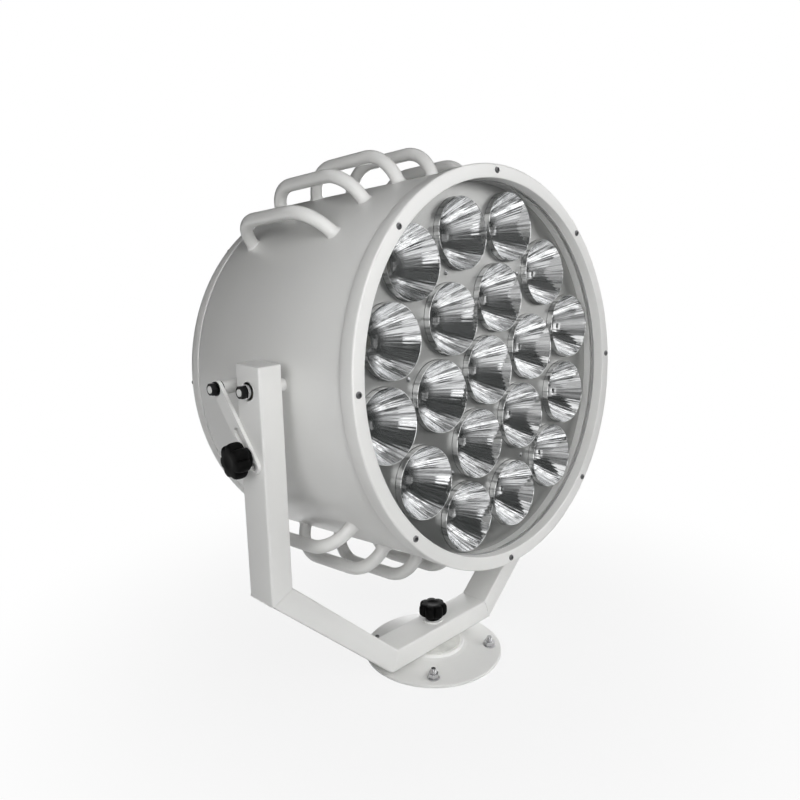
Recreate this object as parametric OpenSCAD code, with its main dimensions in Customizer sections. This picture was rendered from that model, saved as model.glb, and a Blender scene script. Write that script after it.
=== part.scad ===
// Marine searchlight: a round drum lamp with nineteen deep reflectors behind one
// window, carried in a yoke of rectangular tube that turns on a round deck base.
// Millimetres, +Z up, the lamp looks along -Y. The origin is the middle of the
// base's underside, on the pan axis. A slotted link on the -X leg locks the tilt.

/* [Base] */
// Radius of the round deck flange
base_r = 96.5; // [80:0.5:130]
// Height of the base under the thrust washer
base_h = 15; // [12:0.5:25]
// Thickness of the flange at its edge
base_edge = 4; // [3:0.5:8]
// Radius of the neck under the crossbar
base_neck_r = 42.5; // [32:0.5:55]
// Pitch circle diameter of the deck bolts
deck_pcd = 160; // [140:1:170]
// Diameter of the deck bolt holes
deck_hole_d = 9; // [6.6:0.1:11]
// Number of deck bolt holes
deck_holes = 4; // [3:1:6]
// Direction of the first deck bolt seen from above
deck_hole_angle = -47; // [-180:1:180]
// Diameter of the pan spindle in its bush
spindle_d = 16; // [12:0.5:20]

/* [Yoke] */
// Gap between the drum and the inside of a leg
side_gap = 15.5; // [12:0.5:24]
// Tube thickness in the plane of the yoke
tube_t = 29; // [22:0.5:34]
// Tube width along the lamp
tube_w = 43.5; // [36:0.5:52]
// Tube wall thickness
tube_wall = 3; // [2:0.5:4]
// Height of the leg tops above the tilt axis
leg_over = 27.5; // [22:0.5:50]
// Drop of the outside knee below the tilt axis
knee_drop = 240.5; // [220:0.5:260]
// Half length of the crossbar's underside
crossbar_half = 101.5; // [95:0.5:120]
// Height of the tilt axis above the deck less the drum's radius
pivot_clear = 186; // [180:0.5:220]

/* [Lamp] */
// Outside radius of the drum
drum_r = 237.5; // [200:0.5:280]
// Wall thickness of the drum
drum_wall = 3; // [2:0.5:4]
// Step from the drum out to the front bezel
bezel_proud = 2.5; // [1:0.5:5]
// Width of the bezel's face around the window
bezel_face = 16.4; // [15:0.2:20]
// Distance from the tilt axis to the bezel's face
front_reach = 118.5; // [100:0.5:140]
// Overall length of the lamp along its axis
lamp_len = 317.5; // [280:0.5:360]
// Depth of the front bezel
bezel_depth = 20; // [18:0.5:26]
// Depth of the rear cover
rear_depth = 19; // [15:0.5:30]
// Height of the tilt axis above the drum axis
pivot_rise = 15; // [0:0.5:20]
// Elevation of the lamp as modelled, front up
rest_tilt = 5.3; // [0:0.1:10]
// Turn of the drum about its own axis
drum_clock = 2.2; // [0:0.1:5]
// Number of bezel screws
bezel_screws_n = 8; // [6:1:12]
// Distance of the bezel screws from the bezel's edge
bezel_screw_in = 7.4; // [6.5:0.1:8]

/* [Reflectors] */
// Gap between neighbouring reflectors
reflector_gap = 6; // [4:0.5:12]
// Gap between the outer reflectors and the window's edge
reflector_edge = 2.6; // [2:0.2:6]
// Depth of a reflector
reflector_h = 49; // [40:1:55]
// Turn of the reflector pattern in the drum
reflector_turn = 16.3; // [0:0.1:30]

/* [Loops] */
// Diameter of the loop rod
loop_rod_d = 16; // [12:0.5:18]
// Height of the loop's middle line above the drum
loop_rise = 36.5; // [34:0.5:45]
// Length of the straight top of a loop
loop_top = 66; // [40:1:80]
// Bend radius of the loop's middle line beyond its height, so that its feet lean
loop_lean = 9.5; // [6:0.5:16]
// Distance of the loops' middle behind the tilt axis
loop_mid = 60; // [50:1:70]
// Angle between neighbouring loops
loop_pitch = 15; // [12:0.5:18]
// Loops on each side of the middle one
loops_each_side = 3; // [1:1:3]

/* [Tilt lock] */
// Distance of the lock stud below the tilt axis
lock_drop = 71; // [68:0.5:80]
// Distance of the link post behind the tilt axis
post_back = 55; // [50:0.5:57]
// Height of the link post above the tilt axis
post_up = 1; // [0:0.5:4]
// Diameter of the link post
post_d = 15.5; // [14:0.5:17]
// Width of the link bar
link_w = 18; // [17:0.5:20]
// Thickness of the link bar
link_t = 4; // [3:0.5:5]
// Width of the slot in the link
slot_w = 9.6; // [9.6:0.1:10]
// Spare length of the slot beyond the lock stud at each end of the tilt
slot_spare = 0.9; // [0.5:0.1:3]
// Travel of the lamp above its modelled elevation
tilt_up = 35; // [25:1:35]
// Travel of the lamp below its modelled elevation
tilt_down = 15; // [5:1:15]
// Diameter of the star knobs
knob_d = 40; // [36:1:46]
// Number of lobes on a star knob
knob_lobes = 7; // [5:1:8]

/* [Hidden] */
$fn = 96;
// Margin by which cutting shapes pass through what they cut
cut = 1;
// Depth by which a welded rod runs into the drum before it is cut to it
seat_depth = 12;
// Gap between flat faces that move past each other
face_gap = 0.3;
// Radial clearance of a running fit
run_fit = 0.05;
// Radial clearance of a screw in its hole
screw_fit = 0.2;
// Radial gap between a fixed disc and the ring around it
disc_gap = 0.4;

white = [0.93, 0.93, 0.92];
black = [0.05, 0.05, 0.05];
steel = [0.75, 0.76, 0.78];
chrome = [0.86, 0.87, 0.89];
brass = [0.80, 0.66, 0.36];
rubber = [0.10, 0.10, 0.10];
grey = [0.52, 0.54, 0.55];

// Pan bearing: washer, bush and knob stacked along Z
thrust_t = 2 - face_gap;
crossbar_z = base_h + thrust_t + face_gap;
crossbar_top = crossbar_z + tube_t;
pan_bush_r = spindle_d / 2 + 4;
pan_thread_r = 4;
knob_washer_t = 2;
pan_knob_z = crossbar_top + knob_washer_t + face_gap;
knob_h = 23;
knob_collar_h = 6;
insert_h = 15;
insert_r = 7;

// Yoke outline in the XZ plane: outside corners, then inside ones on the mitres
pivot_z = drum_r + pivot_clear;
leg_in = drum_r + side_gap;
leg_x = leg_in + tube_t;
leg_mid = leg_x - tube_t / 2;
leg_top = pivot_z + leg_over;
knee_z = pivot_z - knee_drop;
cap_t = 3;
brace_angle = atan2(knee_z - crossbar_z, leg_x - crossbar_half);
knee_shift = tube_t * tan((90 - brace_angle) / 2);
foot_shift = tube_t * tan(brace_angle / 2);

// Tilt bearing along X
trunnion_r = 7;
trunnion_bush_r = 10;
trunnion_thread_r = 4;
washer_t = 1.5;
washer_r = 8;
spacer_t = 4;
stud_show = 0.5;
nut_af = 13;
nut_h = 6.5;
boss_r = trunnion_r + 5;
boss_in = 17;

// Tilt lock along X, outward from the leg
lock_stud_r = 3;
link_x = leg_x + face_gap + 0.1;
link_out = link_x + link_t;
lock_washer_x = link_out + face_gap;
tilt_knob_x = lock_washer_x + washer_t;
link_pin_r = 4;
pin_show = 0.5;
lock_washer_r = 11;
lock_z = pivot_z - lock_drop;
post_r = norm([post_back, post_up]);
post_angle = atan2(post_up, post_back) - rest_tilt;
post_y = post_r * cos(post_angle);
post_z = pivot_z + post_r * sin(post_angle);
link_lean = atan2(post_y, post_z - lock_z);
// Distance from the link pivot to the lock stud when the lamp has tilted by an angle
function stud_reach(tilt) =
    norm([post_r * cos(post_angle - tilt), lock_drop + post_r * sin(post_angle - tilt)]);
slot_from = stud_reach(tilt_up) - slot_spare;
slot_to = stud_reach(-tilt_down) + slot_spare;

// Lamp along its own axis: positive is towards the front
drum_front = front_reach - bezel_depth;
rear_face = front_reach - lamp_len;
rear_seam = rear_face + rear_depth;
seal_t = 2;
drum_back = rear_seam + seal_t;
bezel_r = drum_r + bezel_proud;
window_r = bezel_r - bezel_face;
bezel_screw_r = bezel_r - bezel_screw_in;
glass_hold = 4.4;
glass_r = window_r + glass_hold;
glass_t = 5;
glass_front = drum_front + glass_t;
bezel_lip = glass_front + seal_t;
flange_t = 10;
rear_plate_t = 3;
screw_r = 2.5;
// The window holds five reflector widths across, in a centre and two rings
reflector_d = (2 * (window_r - reflector_edge) - 4 * reflector_gap + 2) / 5;
ring_inner_r = reflector_d + reflector_gap;
ring_outer_r = window_r - reflector_edge - reflector_d / 2;
ring_between_r = 0.933 * ring_outer_r;
mouth_gap = 1;
mouth_z = drum_front - mouth_gap;
cup_back = mouth_z - reflector_h;
cup_wall = 1.2;
rim_w = 2.5;
cup_neck_r = 11;
plate_t = 2;
plate_in = 9;
plate_z = drum_front - plate_in;
hole_gap = 0.5;
spreader_t = 5;
board_t = 1.6;
board_r = 10;
sink_base = 6;
sink_fin_h = 40;
sink_w = 1.16 * window_r;
sink_l = 0.9 * window_r;
sink_fins = 13;
sink_edge = 20;
fin_t = 4;
sink_bolt_x = sink_w / 2 - sink_edge / 2;
sink_bolt_y = 0.3 * sink_l;
driver_w = 0.76 * window_r;
driver_h = 0.45 * window_r;
driver_t = 55;
standoff_r = 4;
standoff_ring = (ring_inner_r + ring_outer_r) / 2;
standoff_screw_r = 1.5;
standoff_angle = 15;
gland_y = -0.67 * window_r;
gland_r = 8;
gland_bore_r = 5;
gland_hex_r = 13;
gland_flange_t = 5;
gland_nut_t = 10;
gland_thread = 12;

// Places its children in the lamp's axis frame: +Z forward, +Y up, X as outside
module lamp_frame() {
    translate([0, 0, pivot_z])
        rotate([-rest_tilt, 0, 0])
            translate([0, 0, -pivot_rise])
                rotate([90, 0, 0])
                    children();
}

// The same frame turned with the drum about its axis
module drum_frame() {
    lamp_frame()
        rotate([0, 0, -drum_clock])
            children();
}

// Bar with an XZ outline given as points, centred on the yoke's mid plane
module flat_bar(points, width) {
    translate([0, width / 2, 0])
        rotate([90, 0, 0])
            linear_extrude(height = width)
                polygon(points);
}

// Hollow mitred tube; each end has its outside and its inside corner
module mitred_tube(out_a, in_a, out_b, in_b) {
    k = tube_wall / tube_t;
    bore_out_a = out_a + (in_a - out_a) * k;
    bore_in_a = in_a + (out_a - in_a) * k;
    bore_out_b = out_b + (in_b - out_b) * k;
    bore_in_b = in_b + (out_b - in_b) * k;
    difference() {
        flat_bar([out_a, out_b, in_b, in_a], tube_w);
        flat_bar([bore_out_a, bore_out_b, bore_in_b, bore_in_a], tube_w - 2 * tube_wall);
    }
}

// Cylinder along X from x0 to x1, at height z and depth y
module rod_x(r, x0, x1, y = 0, z = 0) {
    translate([min(x0, x1), y, z])
        rotate([0, 90, 0])
            cylinder(r = r, h = abs(x1 - x0));
}

// Ring along Z
module ring(r_out, r_in, z0, z1) {
    translate([0, 0, z0])
        difference() {
            cylinder(r = r_out, h = z1 - z0);
            translate([0, 0, -cut])
                cylinder(r = r_in, h = z1 - z0 + 2 * cut);
        }
}

// Hexagonal nut along Z with a plain bore
module hex_nut(af, h, bore_r) {
    difference() {
        cylinder(r = af / sqrt(3), h = h, $fn = 6);
        translate([0, 0, -cut])
            cylinder(r = bore_r, h = h + 2 * cut);
    }
}

// Pan-head screw along Z with its head seat at z = 0 and its shank downward
module pan_screw(r, length) {
    translate([0, 0, -length])
        cylinder(r = r, h = length + 0.5);
    difference() {
        rotate_extrude()
            polygon([[0, 0], [1.5 * r, 0], [1.45 * r, 0.35 * r], [1.25 * r, 0.6 * r],
                [0.95 * r, 0.75 * r], [0, 0.8 * r]]);
        translate([0, 0, 0.25 * r])
            cylinder(r = 0.8 * r, h = 2 * r, $fn = 6);
    }
}

// Lobed knob standing on its collar at z = 0, bored for its insert
module star_knob() {
    lobe_step = 360 / knob_lobes;
    head_h = knob_h - knob_collar_h;
    lobe_r = 0.38 * knob_d * sin(lobe_step / 2);
    difference() {
        union() {
            cylinder(r1 = 0.26 * knob_d, r2 = 0.30 * knob_d, h = knob_collar_h + cut);
            translate([0, 0, knob_collar_h])
                intersection() {
                    rotate_extrude()
                        polygon([[0, 0], [0.40 * knob_d, 0], [0.46 * knob_d, 0.10 * head_h],
                            [0.5 * knob_d, 0.30 * head_h], [0.5 * knob_d, 0.70 * head_h],
                            [0.47 * knob_d, 0.87 * head_h], [0.40 * knob_d, 0.965 * head_h],
                            [0.2 * knob_d, head_h], [0, head_h]]);
                    union() {
                        cylinder(r = 0.36 * knob_d, h = head_h);
                        for (i = [0:knob_lobes - 1])
                            rotate([0, 0, i * lobe_step])
                                translate([knob_d / 2 - lobe_r, 0, 0])
                                    cylinder(r = lobe_r, h = head_h);
                    }
                }
        }
        translate([0, 0, -cut])
            cylinder(r = insert_r, h = insert_h + cut);
    }
}

// Threaded insert of a knob, blind at its top
module knob_bush(thread_r) {
    difference() {
        cylinder(r = insert_r, h = insert_h);
        translate([0, 0, -cut])
            cylinder(r = thread_r + run_fit, h = insert_h - 2 + cut);
    }
}

module base_flange() {
    color(white)
        difference() {
            rotate_extrude()
                polygon([[spindle_d / 2, 0], [base_r - 1, 0], [base_r, 1],
                    [base_r, base_edge - 1], [base_r - 1.5, base_edge],
                    [base_neck_r + 6, base_h - 5], [base_neck_r + 1, base_h - 3.5],
                    [base_neck_r, base_h - 1.5], [base_neck_r - 1, base_h],
                    [spindle_d / 2, base_h]]);
            // Recess for the spindle's head
            translate([0, 0, -cut])
                cylinder(r = spindle_d, h = 7 + cut);
            for (i = [0:deck_holes - 1])
                rotate([0, 0, deck_hole_angle + i * 360 / deck_holes])
                    translate([deck_pcd / 2, 0, 0]) {
                        translate([0, 0, -cut])
                            cylinder(d = deck_hole_d, h = base_h + 2 * cut);
                        // Spot face for the washer
                        translate([0, 0, base_edge + 1])
                            cylinder(r = deck_hole_d, h = base_h);
                    }
        }
}

module pan_spindle() {
    color(steel) {
        translate([0, 0, 0.5])
            cylinder(r = spindle_d - 0.5, h = 6.5);
        translate([0, 0, 6])
            cylinder(d = spindle_d, h = crossbar_top - 0.5 - 6);
        translate([0, 0, 6])
            cylinder(r = pan_thread_r, h = pan_knob_z + insert_h - 4 - 6);
    }
}

module pan_thrust_washer() {
    color(white)
        ring(base_neck_r - 4, spindle_d / 2 + screw_fit, base_h, base_h + thrust_t);
}

module pan_lock_knob() {
    color(black)
        translate([0, 0, pan_knob_z])
            star_knob();
}

module pan_knob_insert() {
    color(brass)
        translate([0, 0, pan_knob_z])
            knob_bush(pan_thread_r);
}

module pan_knob_washer() {
    color(steel)
        ring(14, pan_thread_r + face_gap, crossbar_top, crossbar_top + knob_washer_t);
}

module yoke_crossbar() {
    color(white)
        difference() {
            mitred_tube([-crossbar_half, crossbar_z], [-crossbar_half + foot_shift, crossbar_top],
                [crossbar_half, crossbar_z], [crossbar_half - foot_shift, crossbar_top]);
            translate([0, 0, crossbar_z - cut])
                cylinder(r = pan_bush_r, h = tube_t + 2 * cut);
        }
}

module brace() {
    mitred_tube([crossbar_half, crossbar_z], [crossbar_half - foot_shift, crossbar_top],
        [leg_x, knee_z], [leg_in, knee_z + knee_shift]);
}

module yoke_brace_left() {
    color(white)
        mirror([1, 0, 0])
            brace();
}

module yoke_brace_right() {
    color(white)
        brace();
}

module leg() {
    difference() {
        mitred_tube([leg_x, knee_z], [leg_in, knee_z + knee_shift],
            [leg_x, leg_top - cap_t], [leg_in, leg_top - cap_t]);
        rod_x(trunnion_bush_r, leg_in - cut, leg_x + cut, 0, pivot_z);
    }
}

module yoke_leg_left() {
    color(white)
        difference() {
            mirror([1, 0, 0])
                leg();
            rod_x(lock_stud_r, -leg_x - cut, -leg_mid, 0, lock_z);
        }
}

module yoke_leg_right() {
    color(white)
        leg();
}

module leg_caps() {
    color(white)
        for (side = [-1, 1])
            translate([side * leg_mid - tube_t / 2, -tube_w / 2, leg_top - cap_t])
                cube([tube_t, tube_w, cap_t]);
}

module pan_bush() {
    color(brass)
        ring(pan_bush_r, spindle_d / 2 + run_fit, crossbar_z, crossbar_top);
}

module trunnion_bush(side) {
    difference() {
        rod_x(trunnion_bush_r, side * leg_in, side * leg_x, 0, pivot_z);
        rod_x(trunnion_r + run_fit, side * (leg_in - cut), side * (leg_x + cut), 0, pivot_z);
    }
}

module trunnion_bush_left() {
    color(brass)
        trunnion_bush(-1);
}

module trunnion_bush_right() {
    color(brass)
        trunnion_bush(1);
}

module tilt_lock_stud() {
    color(steel) {
        rod_x(lock_stud_r, -leg_x + tube_wall, -tilt_knob_x - insert_h + 4, 0, lock_z);
        rod_x(lock_stud_r + 3, -leg_x + tube_wall + 3, -leg_x + tube_wall, 0, lock_z);
    }
}

// Turns a knob that stands along +Z so that it stands on the left leg
module on_left_leg() {
    translate([-tilt_knob_x, 0, lock_z])
        rotate([0, -90, 0])
            children();
}

module tilt_lock_knob() {
    color(black)
        on_left_leg()
            star_knob();
}

module tilt_knob_insert() {
    color(brass)
        on_left_leg()
            knob_bush(lock_stud_r);
}

module tilt_lock_washer() {
    color(steel)
        difference() {
            rod_x(lock_washer_r, -lock_washer_x, -tilt_knob_x, 0, lock_z);
            rod_x(lock_stud_r + face_gap, -lock_washer_x + cut, -tilt_knob_x - cut, 0, lock_z);
        }
}

// Slotted bar between the link post and the lock stud, leaning as at rest
module tilt_link() {
    color(white)
        translate([-link_out, post_y, post_z])
            rotate([-link_lean, 0, 0])
                difference() {
                    union() {
                        rod_x(link_w / 2, 0, link_t);
                        rod_x(link_w / 2, 0, link_t, 0, -slot_to);
                        translate([0, -link_w / 2, -slot_to])
                            cube([link_t, link_w, slot_to]);
                    }
                    rod_x(link_pin_r + run_fit, -cut, link_t + cut);
                    rod_x(slot_w / 2, -cut, link_t + cut, 0, -slot_from);
                    rod_x(slot_w / 2, -cut, link_t + cut, 0, -slot_to);
                    translate([-cut, -slot_w / 2, -slot_to])
                        cube([link_t + 2 * cut, slot_w, slot_to - slot_from]);
                }
}

module screw_holes(z0, z1, count) {
    for (i = [0:count - 1])
        rotate([0, 0, 90 + i * 360 / count])
            translate([bezel_screw_r, 0, z0])
                cylinder(r = screw_r + screw_fit, h = z1 - z0);
}

// Rolled drum with a welded ring at each end for the bezel and the rear cover
module drum_shell() {
    color(white)
        difference() {
            drum_frame()
                difference() {
                    translate([0, 0, drum_back])
                        cylinder(r = drum_r, h = drum_front - drum_back);
                    translate([0, 0, drum_back - cut])
                        cylinder(r = window_r, h = drum_front - drum_back + 2 * cut);
                    translate([0, 0, drum_back + flange_t])
                        cylinder(r = drum_r - drum_wall, h = drum_front - drum_back - 2 * flange_t);
                    screw_holes(drum_front - flange_t - cut, drum_front + cut, bezel_screws_n);
                    screw_holes(drum_back - cut, drum_back + flange_t + cut, bezel_screws_n);
                }
            lamp_frame()
                for (side = [-1, 1])
                    rod_x(trunnion_r, side * (drum_r - 3 * drum_wall),
                        side * (drum_r + cut), pivot_rise, 0);
        }
}

module bezel_ring() {
    color(white)
        drum_frame()
            difference() {
                rotate_extrude()
                    polygon([[window_r, bezel_lip], [window_r, front_reach - 1],
                        [window_r + 1, front_reach], [bezel_r - 1.5, front_reach],
                        [bezel_r, front_reach - 1.5], [bezel_r, drum_front],
                        [glass_r + disc_gap, drum_front], [glass_r + disc_gap, bezel_lip]]);
                screw_holes(drum_front - cut, front_reach + cut, bezel_screws_n);
            }
}

module bezel_screws() {
    color(steel)
        drum_frame()
            for (i = [0:bezel_screws_n - 1])
                rotate([0, 0, 90 + i * 360 / bezel_screws_n])
                    translate([bezel_screw_r, 0, front_reach])
                        pan_screw(screw_r, bezel_depth + flange_t - 2);
}

module glass_gasket() {
    color(rubber)
        drum_frame()
            ring(glass_r, window_r - 1, glass_front, bezel_lip);
}

module front_glass() {
    color([0.8, 0.9, 0.95, 0.3])
        drum_frame()
            translate([0, 0, drum_front])
                cylinder(r = glass_r, h = glass_t);
}

// Dished rear cover with a thick rim
module rear_cover() {
    color(white)
        drum_frame()
            difference() {
                rotate_extrude()
                    polygon([[0, rear_face], [drum_r - 5, rear_face], [drum_r - 1.5, rear_face + 1.5],
                        [drum_r, rear_face + 5], [drum_r, rear_seam], [window_r, rear_seam],
                        [window_r, rear_face + rear_plate_t], [0, rear_face + rear_plate_t]]);
                screw_holes(rear_face - cut, rear_seam + cut, bezel_screws_n);
                rotate([0, 0, drum_clock])
                    translate([0, gland_y, rear_face - cut])
                        cylinder(r = gland_r, h = rear_plate_t + 2 * cut);
            }
}

module rear_gasket() {
    color(rubber)
        drum_frame()
            difference() {
                ring(drum_r - 2, window_r, rear_seam, drum_back);
                screw_holes(rear_seam - cut, drum_back + cut, bezel_screws_n);
            }
}

module rear_cover_screws() {
    color(steel)
        drum_frame()
            for (i = [0:bezel_screws_n - 1])
                rotate([0, 0, 90 + i * 360 / bezel_screws_n])
                    translate([bezel_screw_r, 0, rear_face])
                        rotate([180, 0, 0])
                            pan_screw(screw_r, rear_depth + seal_t + flange_t - 2);
}

// Places its children at each reflector of a ring
module around(r, count, turn) {
    for (i = [0:count - 1])
        rotate([0, 0, 90 - reflector_turn - turn - i * 360 / count])
            translate([r, 0, 0])
                children();
}

module all_reflector_places() {
    around(0, 1, 0) children();
    around(ring_inner_r, 6, 0) children();
    around(ring_outer_r, 6, 0) children();
    around(ring_between_r, 6, 30) children();
}

// Carrier plate with one hole for each reflector
module reflector_plate() {
    color(grey)
        drum_frame()
            difference() {
                translate([0, 0, plate_z - plate_t])
                    cylinder(r = window_r - disc_gap, h = plate_t);
                all_reflector_places()
                    translate([0, 0, plate_z - plate_t - cut])
                        cylinder(r = reflector_d / 2 + hole_gap, h = plate_t + 2 * cut);
                standoff_places()
                    translate([0, 0, plate_z - plate_t - cut])
                        cylinder(r = standoff_screw_r + screw_fit, h = plate_t + 2 * cut);
            }
}

// Half width of the reflector's inside at a height share t above its neck
function cup_r(t) = cup_neck_r + (reflector_d / 2 - rim_w - cup_neck_r) * pow(t, 0.62);

// Deep cup with a rolled rim, standing on its neck
module reflector() {
    steps = 10;
    inside = [for (i = [0:steps]) [cup_r(i / steps), reflector_h * i / steps]];
    outside = [for (i = [steps:-1:0])
        [cup_r(i / steps) + cup_wall, i == steps ? reflector_h - cup_wall : reflector_h * i / steps]];
    rim = [[reflector_d / 2, reflector_h], [reflector_d / 2, reflector_h - cup_wall]];
    translate([0, 0, cup_back])
        rotate_extrude()
            polygon(concat(inside, rim, outside));
}

module reflector_centre() {
    color(chrome)
        drum_frame()
            around(0, 1, 0)
                reflector();
}

module reflectors_inner() {
    color(chrome)
        drum_frame()
            around(ring_inner_r, 6, 0)
                reflector();
}

module reflectors_outer() {
    color(chrome)
        drum_frame() {
            around(ring_outer_r, 6, 0) reflector();
            around(ring_between_r, 6, 30) reflector();
        }
}

// Round board with a domed emitter at the bottom of each reflector
module led_modules() {
    color([0.95, 0.90, 0.55])
        drum_frame()
            all_reflector_places()
                translate([0, 0, cup_back])
                    rotate_extrude()
                        polygon([[0, 0], [board_r, 0], [board_r, board_t], [5, board_t],
                            [4.6, 3.4], [3.4, 5.2], [1.8, 6.2], [0, 6.5]]);
}

module heat_spreader() {
    color(steel)
        drum_frame()
            difference() {
                translate([0, 0, cup_back - spreader_t])
                    cylinder(r = window_r - disc_gap, h = spreader_t);
                // Holes for the bolts of the heat sink
                sink_bolt_places()
                    translate([0, 0, cup_back - spreader_t - cut])
                        cylinder(r = screw_r + screw_fit, h = spreader_t + 2 * cut);
            }
}

module sink_bolt_places() {
    for (sx = [-1, 1])
        for (sy = [-1, 1])
            rotate([0, 0, standoff_angle - reflector_turn])
                translate([sx * sink_bolt_x, sy * sink_bolt_y, 0])
                    children();
}

// Finned block bolted behind the spreader
module heat_sink() {
    fin_step = (sink_w - fin_t - 2 * sink_edge) / (sink_fins - 1);
    color(steel)
        drum_frame()
            rotate([0, 0, standoff_angle - reflector_turn])
                difference() {
                    union() {
                        translate([-sink_w / 2, -sink_l / 2, cup_back - spreader_t - sink_base])
                            cube([sink_w, sink_l, sink_base]);
                        for (i = [0:sink_fins - 1])
                            translate([-sink_w / 2 + sink_edge + i * fin_step, -sink_l / 2,
                                cup_back - spreader_t - sink_base - sink_fin_h])
                                cube([fin_t, sink_l, sink_fin_h + cut]);
                    }
                    for (sx = [-1, 1])
                        for (sy = [-1, 1])
                            translate([sx * sink_bolt_x, sy * sink_bolt_y,
                                cup_back - spreader_t - sink_base - cut])
                                cylinder(r = screw_r + screw_fit, h = sink_base + 2 * cut);
                }
}

module heat_sink_bolts() {
    color(steel)
        drum_frame()
            sink_bolt_places()
                translate([0, 0, cup_back - spreader_t - sink_base])
                    rotate([180, 0, 0])
                        pan_screw(screw_r, sink_base + spreader_t - 0.5);
}

// Power supply on the inside of the rear cover
module driver_box() {
    color(grey)
        drum_frame()
            translate([-driver_w / 2, -driver_h / 2, rear_face + rear_plate_t])
                cube([driver_w, driver_h, driver_t]);
}

module standoff_places() {
    for (i = [0:5])
        rotate([0, 0, 90 - reflector_turn - standoff_angle - i * 60])
            translate([standoff_ring, 0, 0])
                children();
}

// Posts that hold the carrier plate off the spreader, with their screws
module plate_standoffs() {
    color(steel)
        drum_frame()
            standoff_places() {
                translate([0, 0, cup_back])
                    cylinder(r = standoff_r, h = plate_z - plate_t - cup_back);
                translate([0, 0, plate_z - plate_t - cut])
                    cylinder(r = standoff_screw_r, h = plate_t + cut);
                translate([0, 0, plate_z])
                    rotate_extrude()
                        scale(standoff_screw_r)
                            polygon([[0, -0.3], [1, -0.3], [1, 0], [2, 0], [1.8, 0.8], [0, 1.2]]);
            }
}

// Boss welded inside the drum's side, cut to the curve of its wall
module trunnion_boss(side) {
    lamp_frame()
        difference() {
            intersection() {
                rod_x(boss_r, side * (drum_r - boss_in), side * drum_r, pivot_rise, 0);
                translate([0, 0, -boss_r - cut])
                    cylinder(r = drum_r - drum_wall, h = 2 * (boss_r + cut));
            }
            rod_x(trunnion_r, side * (drum_r - boss_in - cut), side * leg_in, pivot_rise, 0);
        }
}

module trunnion_boss_left() {
    color(white)
        trunnion_boss(-1);
}

module trunnion_boss_right() {
    color(white)
        trunnion_boss(1);
}

// Stud from the boss through the drum's wall and the leg's bush
module trunnion_stud(side) {
    lamp_frame()
        union() {
            rod_x(trunnion_r, side * (drum_r - boss_in), side * (leg_x + face_gap), pivot_rise, 0);
            rod_x(trunnion_thread_r, side * leg_x,
                side * (leg_x + face_gap + spacer_t + nut_h + stud_show), pivot_rise, 0);
        }
}

module trunnion_stud_left() {
    color(black)
        trunnion_stud(-1);
}

module trunnion_stud_right() {
    color(black)
        trunnion_stud(1);
}

module trunnion_washers() {
    color(steel)
        lamp_frame()
            for (side = [-1, 1])
                difference() {
                    rod_x(washer_r, side * (leg_x + face_gap),
                        side * (leg_x + face_gap + spacer_t), pivot_rise, 0);
                    rod_x(trunnion_thread_r, side * leg_x, side * (leg_x + 2 * spacer_t), pivot_rise, 0);
                }
}

module trunnion_nuts() {
    color(black)
        lamp_frame()
            for (side = [-1, 1])
                translate([side * (leg_x + face_gap + spacer_t), pivot_rise, 0])
                    rotate([0, side * 90, 0])
                        hex_nut(nut_af, nut_h, trunnion_thread_r);
}

// Post on the drum that carries the link, with a thinner pin at its end
module link_post() {
    color(white)
        lamp_frame()
            difference() {
                union() {
                    rod_x(post_d / 2, -drum_r + seat_depth, -link_x + face_gap + washer_t,
                        pivot_rise + post_up, -post_back);
                    rod_x(link_pin_r, -drum_r, -link_out - face_gap - washer_t - nut_h - pin_show,
                        pivot_rise + post_up, -post_back);
                }
                translate([0, 0, -post_back - post_d])
                    cylinder(r = drum_r, h = 2 * post_d);
            }
}

module link_washers() {
    color(black)
        lamp_frame()
            for (x = [link_x - face_gap - washer_t, link_out + face_gap])
                difference() {
                    rod_x(washer_r, -x, -x - washer_t, pivot_rise + post_up, -post_back);
                    rod_x(link_pin_r, -x + cut, -x - washer_t - cut, pivot_rise + post_up, -post_back);
                }
}

module link_nut() {
    color(black)
        lamp_frame()
            translate([-link_out - face_gap - washer_t, pivot_rise + post_up, -post_back])
                rotate([0, -90, 0])
                    hex_nut(nut_af, nut_h, link_pin_r);
}

// Cable gland in the rear cover, open for the cable
module cable_gland() {
    color(brass)
        lamp_frame()
            translate([0, gland_y, rear_face])
                difference() {
                    union() {
                        translate([0, 0, -gland_flange_t])
                            cylinder(r = gland_hex_r, h = gland_flange_t, $fn = 6);
                        translate([0, 0, -gland_flange_t - gland_nut_t])
                            cylinder(r = gland_r + 1, h = gland_nut_t + cut);
                        translate([0, 0, -cut])
                            cylinder(r = gland_r, h = gland_thread + cut);
                    }
                    translate([0, 0, -gland_flange_t - gland_nut_t - cut])
                        cylinder(r = gland_bore_r,
                            h = gland_flange_t + gland_nut_t + gland_thread + 2 * cut);
                }
}

// Clamping nut of the gland, with a domed mouth for the cable
module gland_nut() {
    mouth_h = 0.7 * gland_nut_t;
    color(brass)
        lamp_frame()
            translate([0, gland_y, rear_face - gland_flange_t - gland_nut_t])
                difference() {
                    union() {
                        cylinder(r = gland_hex_r, h = gland_nut_t, $fn = 6);
                        translate([0, 0, -mouth_h])
                            cylinder(r1 = gland_bore_r + 2, r2 = gland_r + 2.5, h = mouth_h + cut);
                    }
                    cylinder(r = gland_r + 1, h = gland_nut_t + cut);
                    translate([0, 0, -mouth_h - cut])
                        cylinder(r = gland_bore_r, h = mouth_h + gland_nut_t);
                }
}

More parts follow.
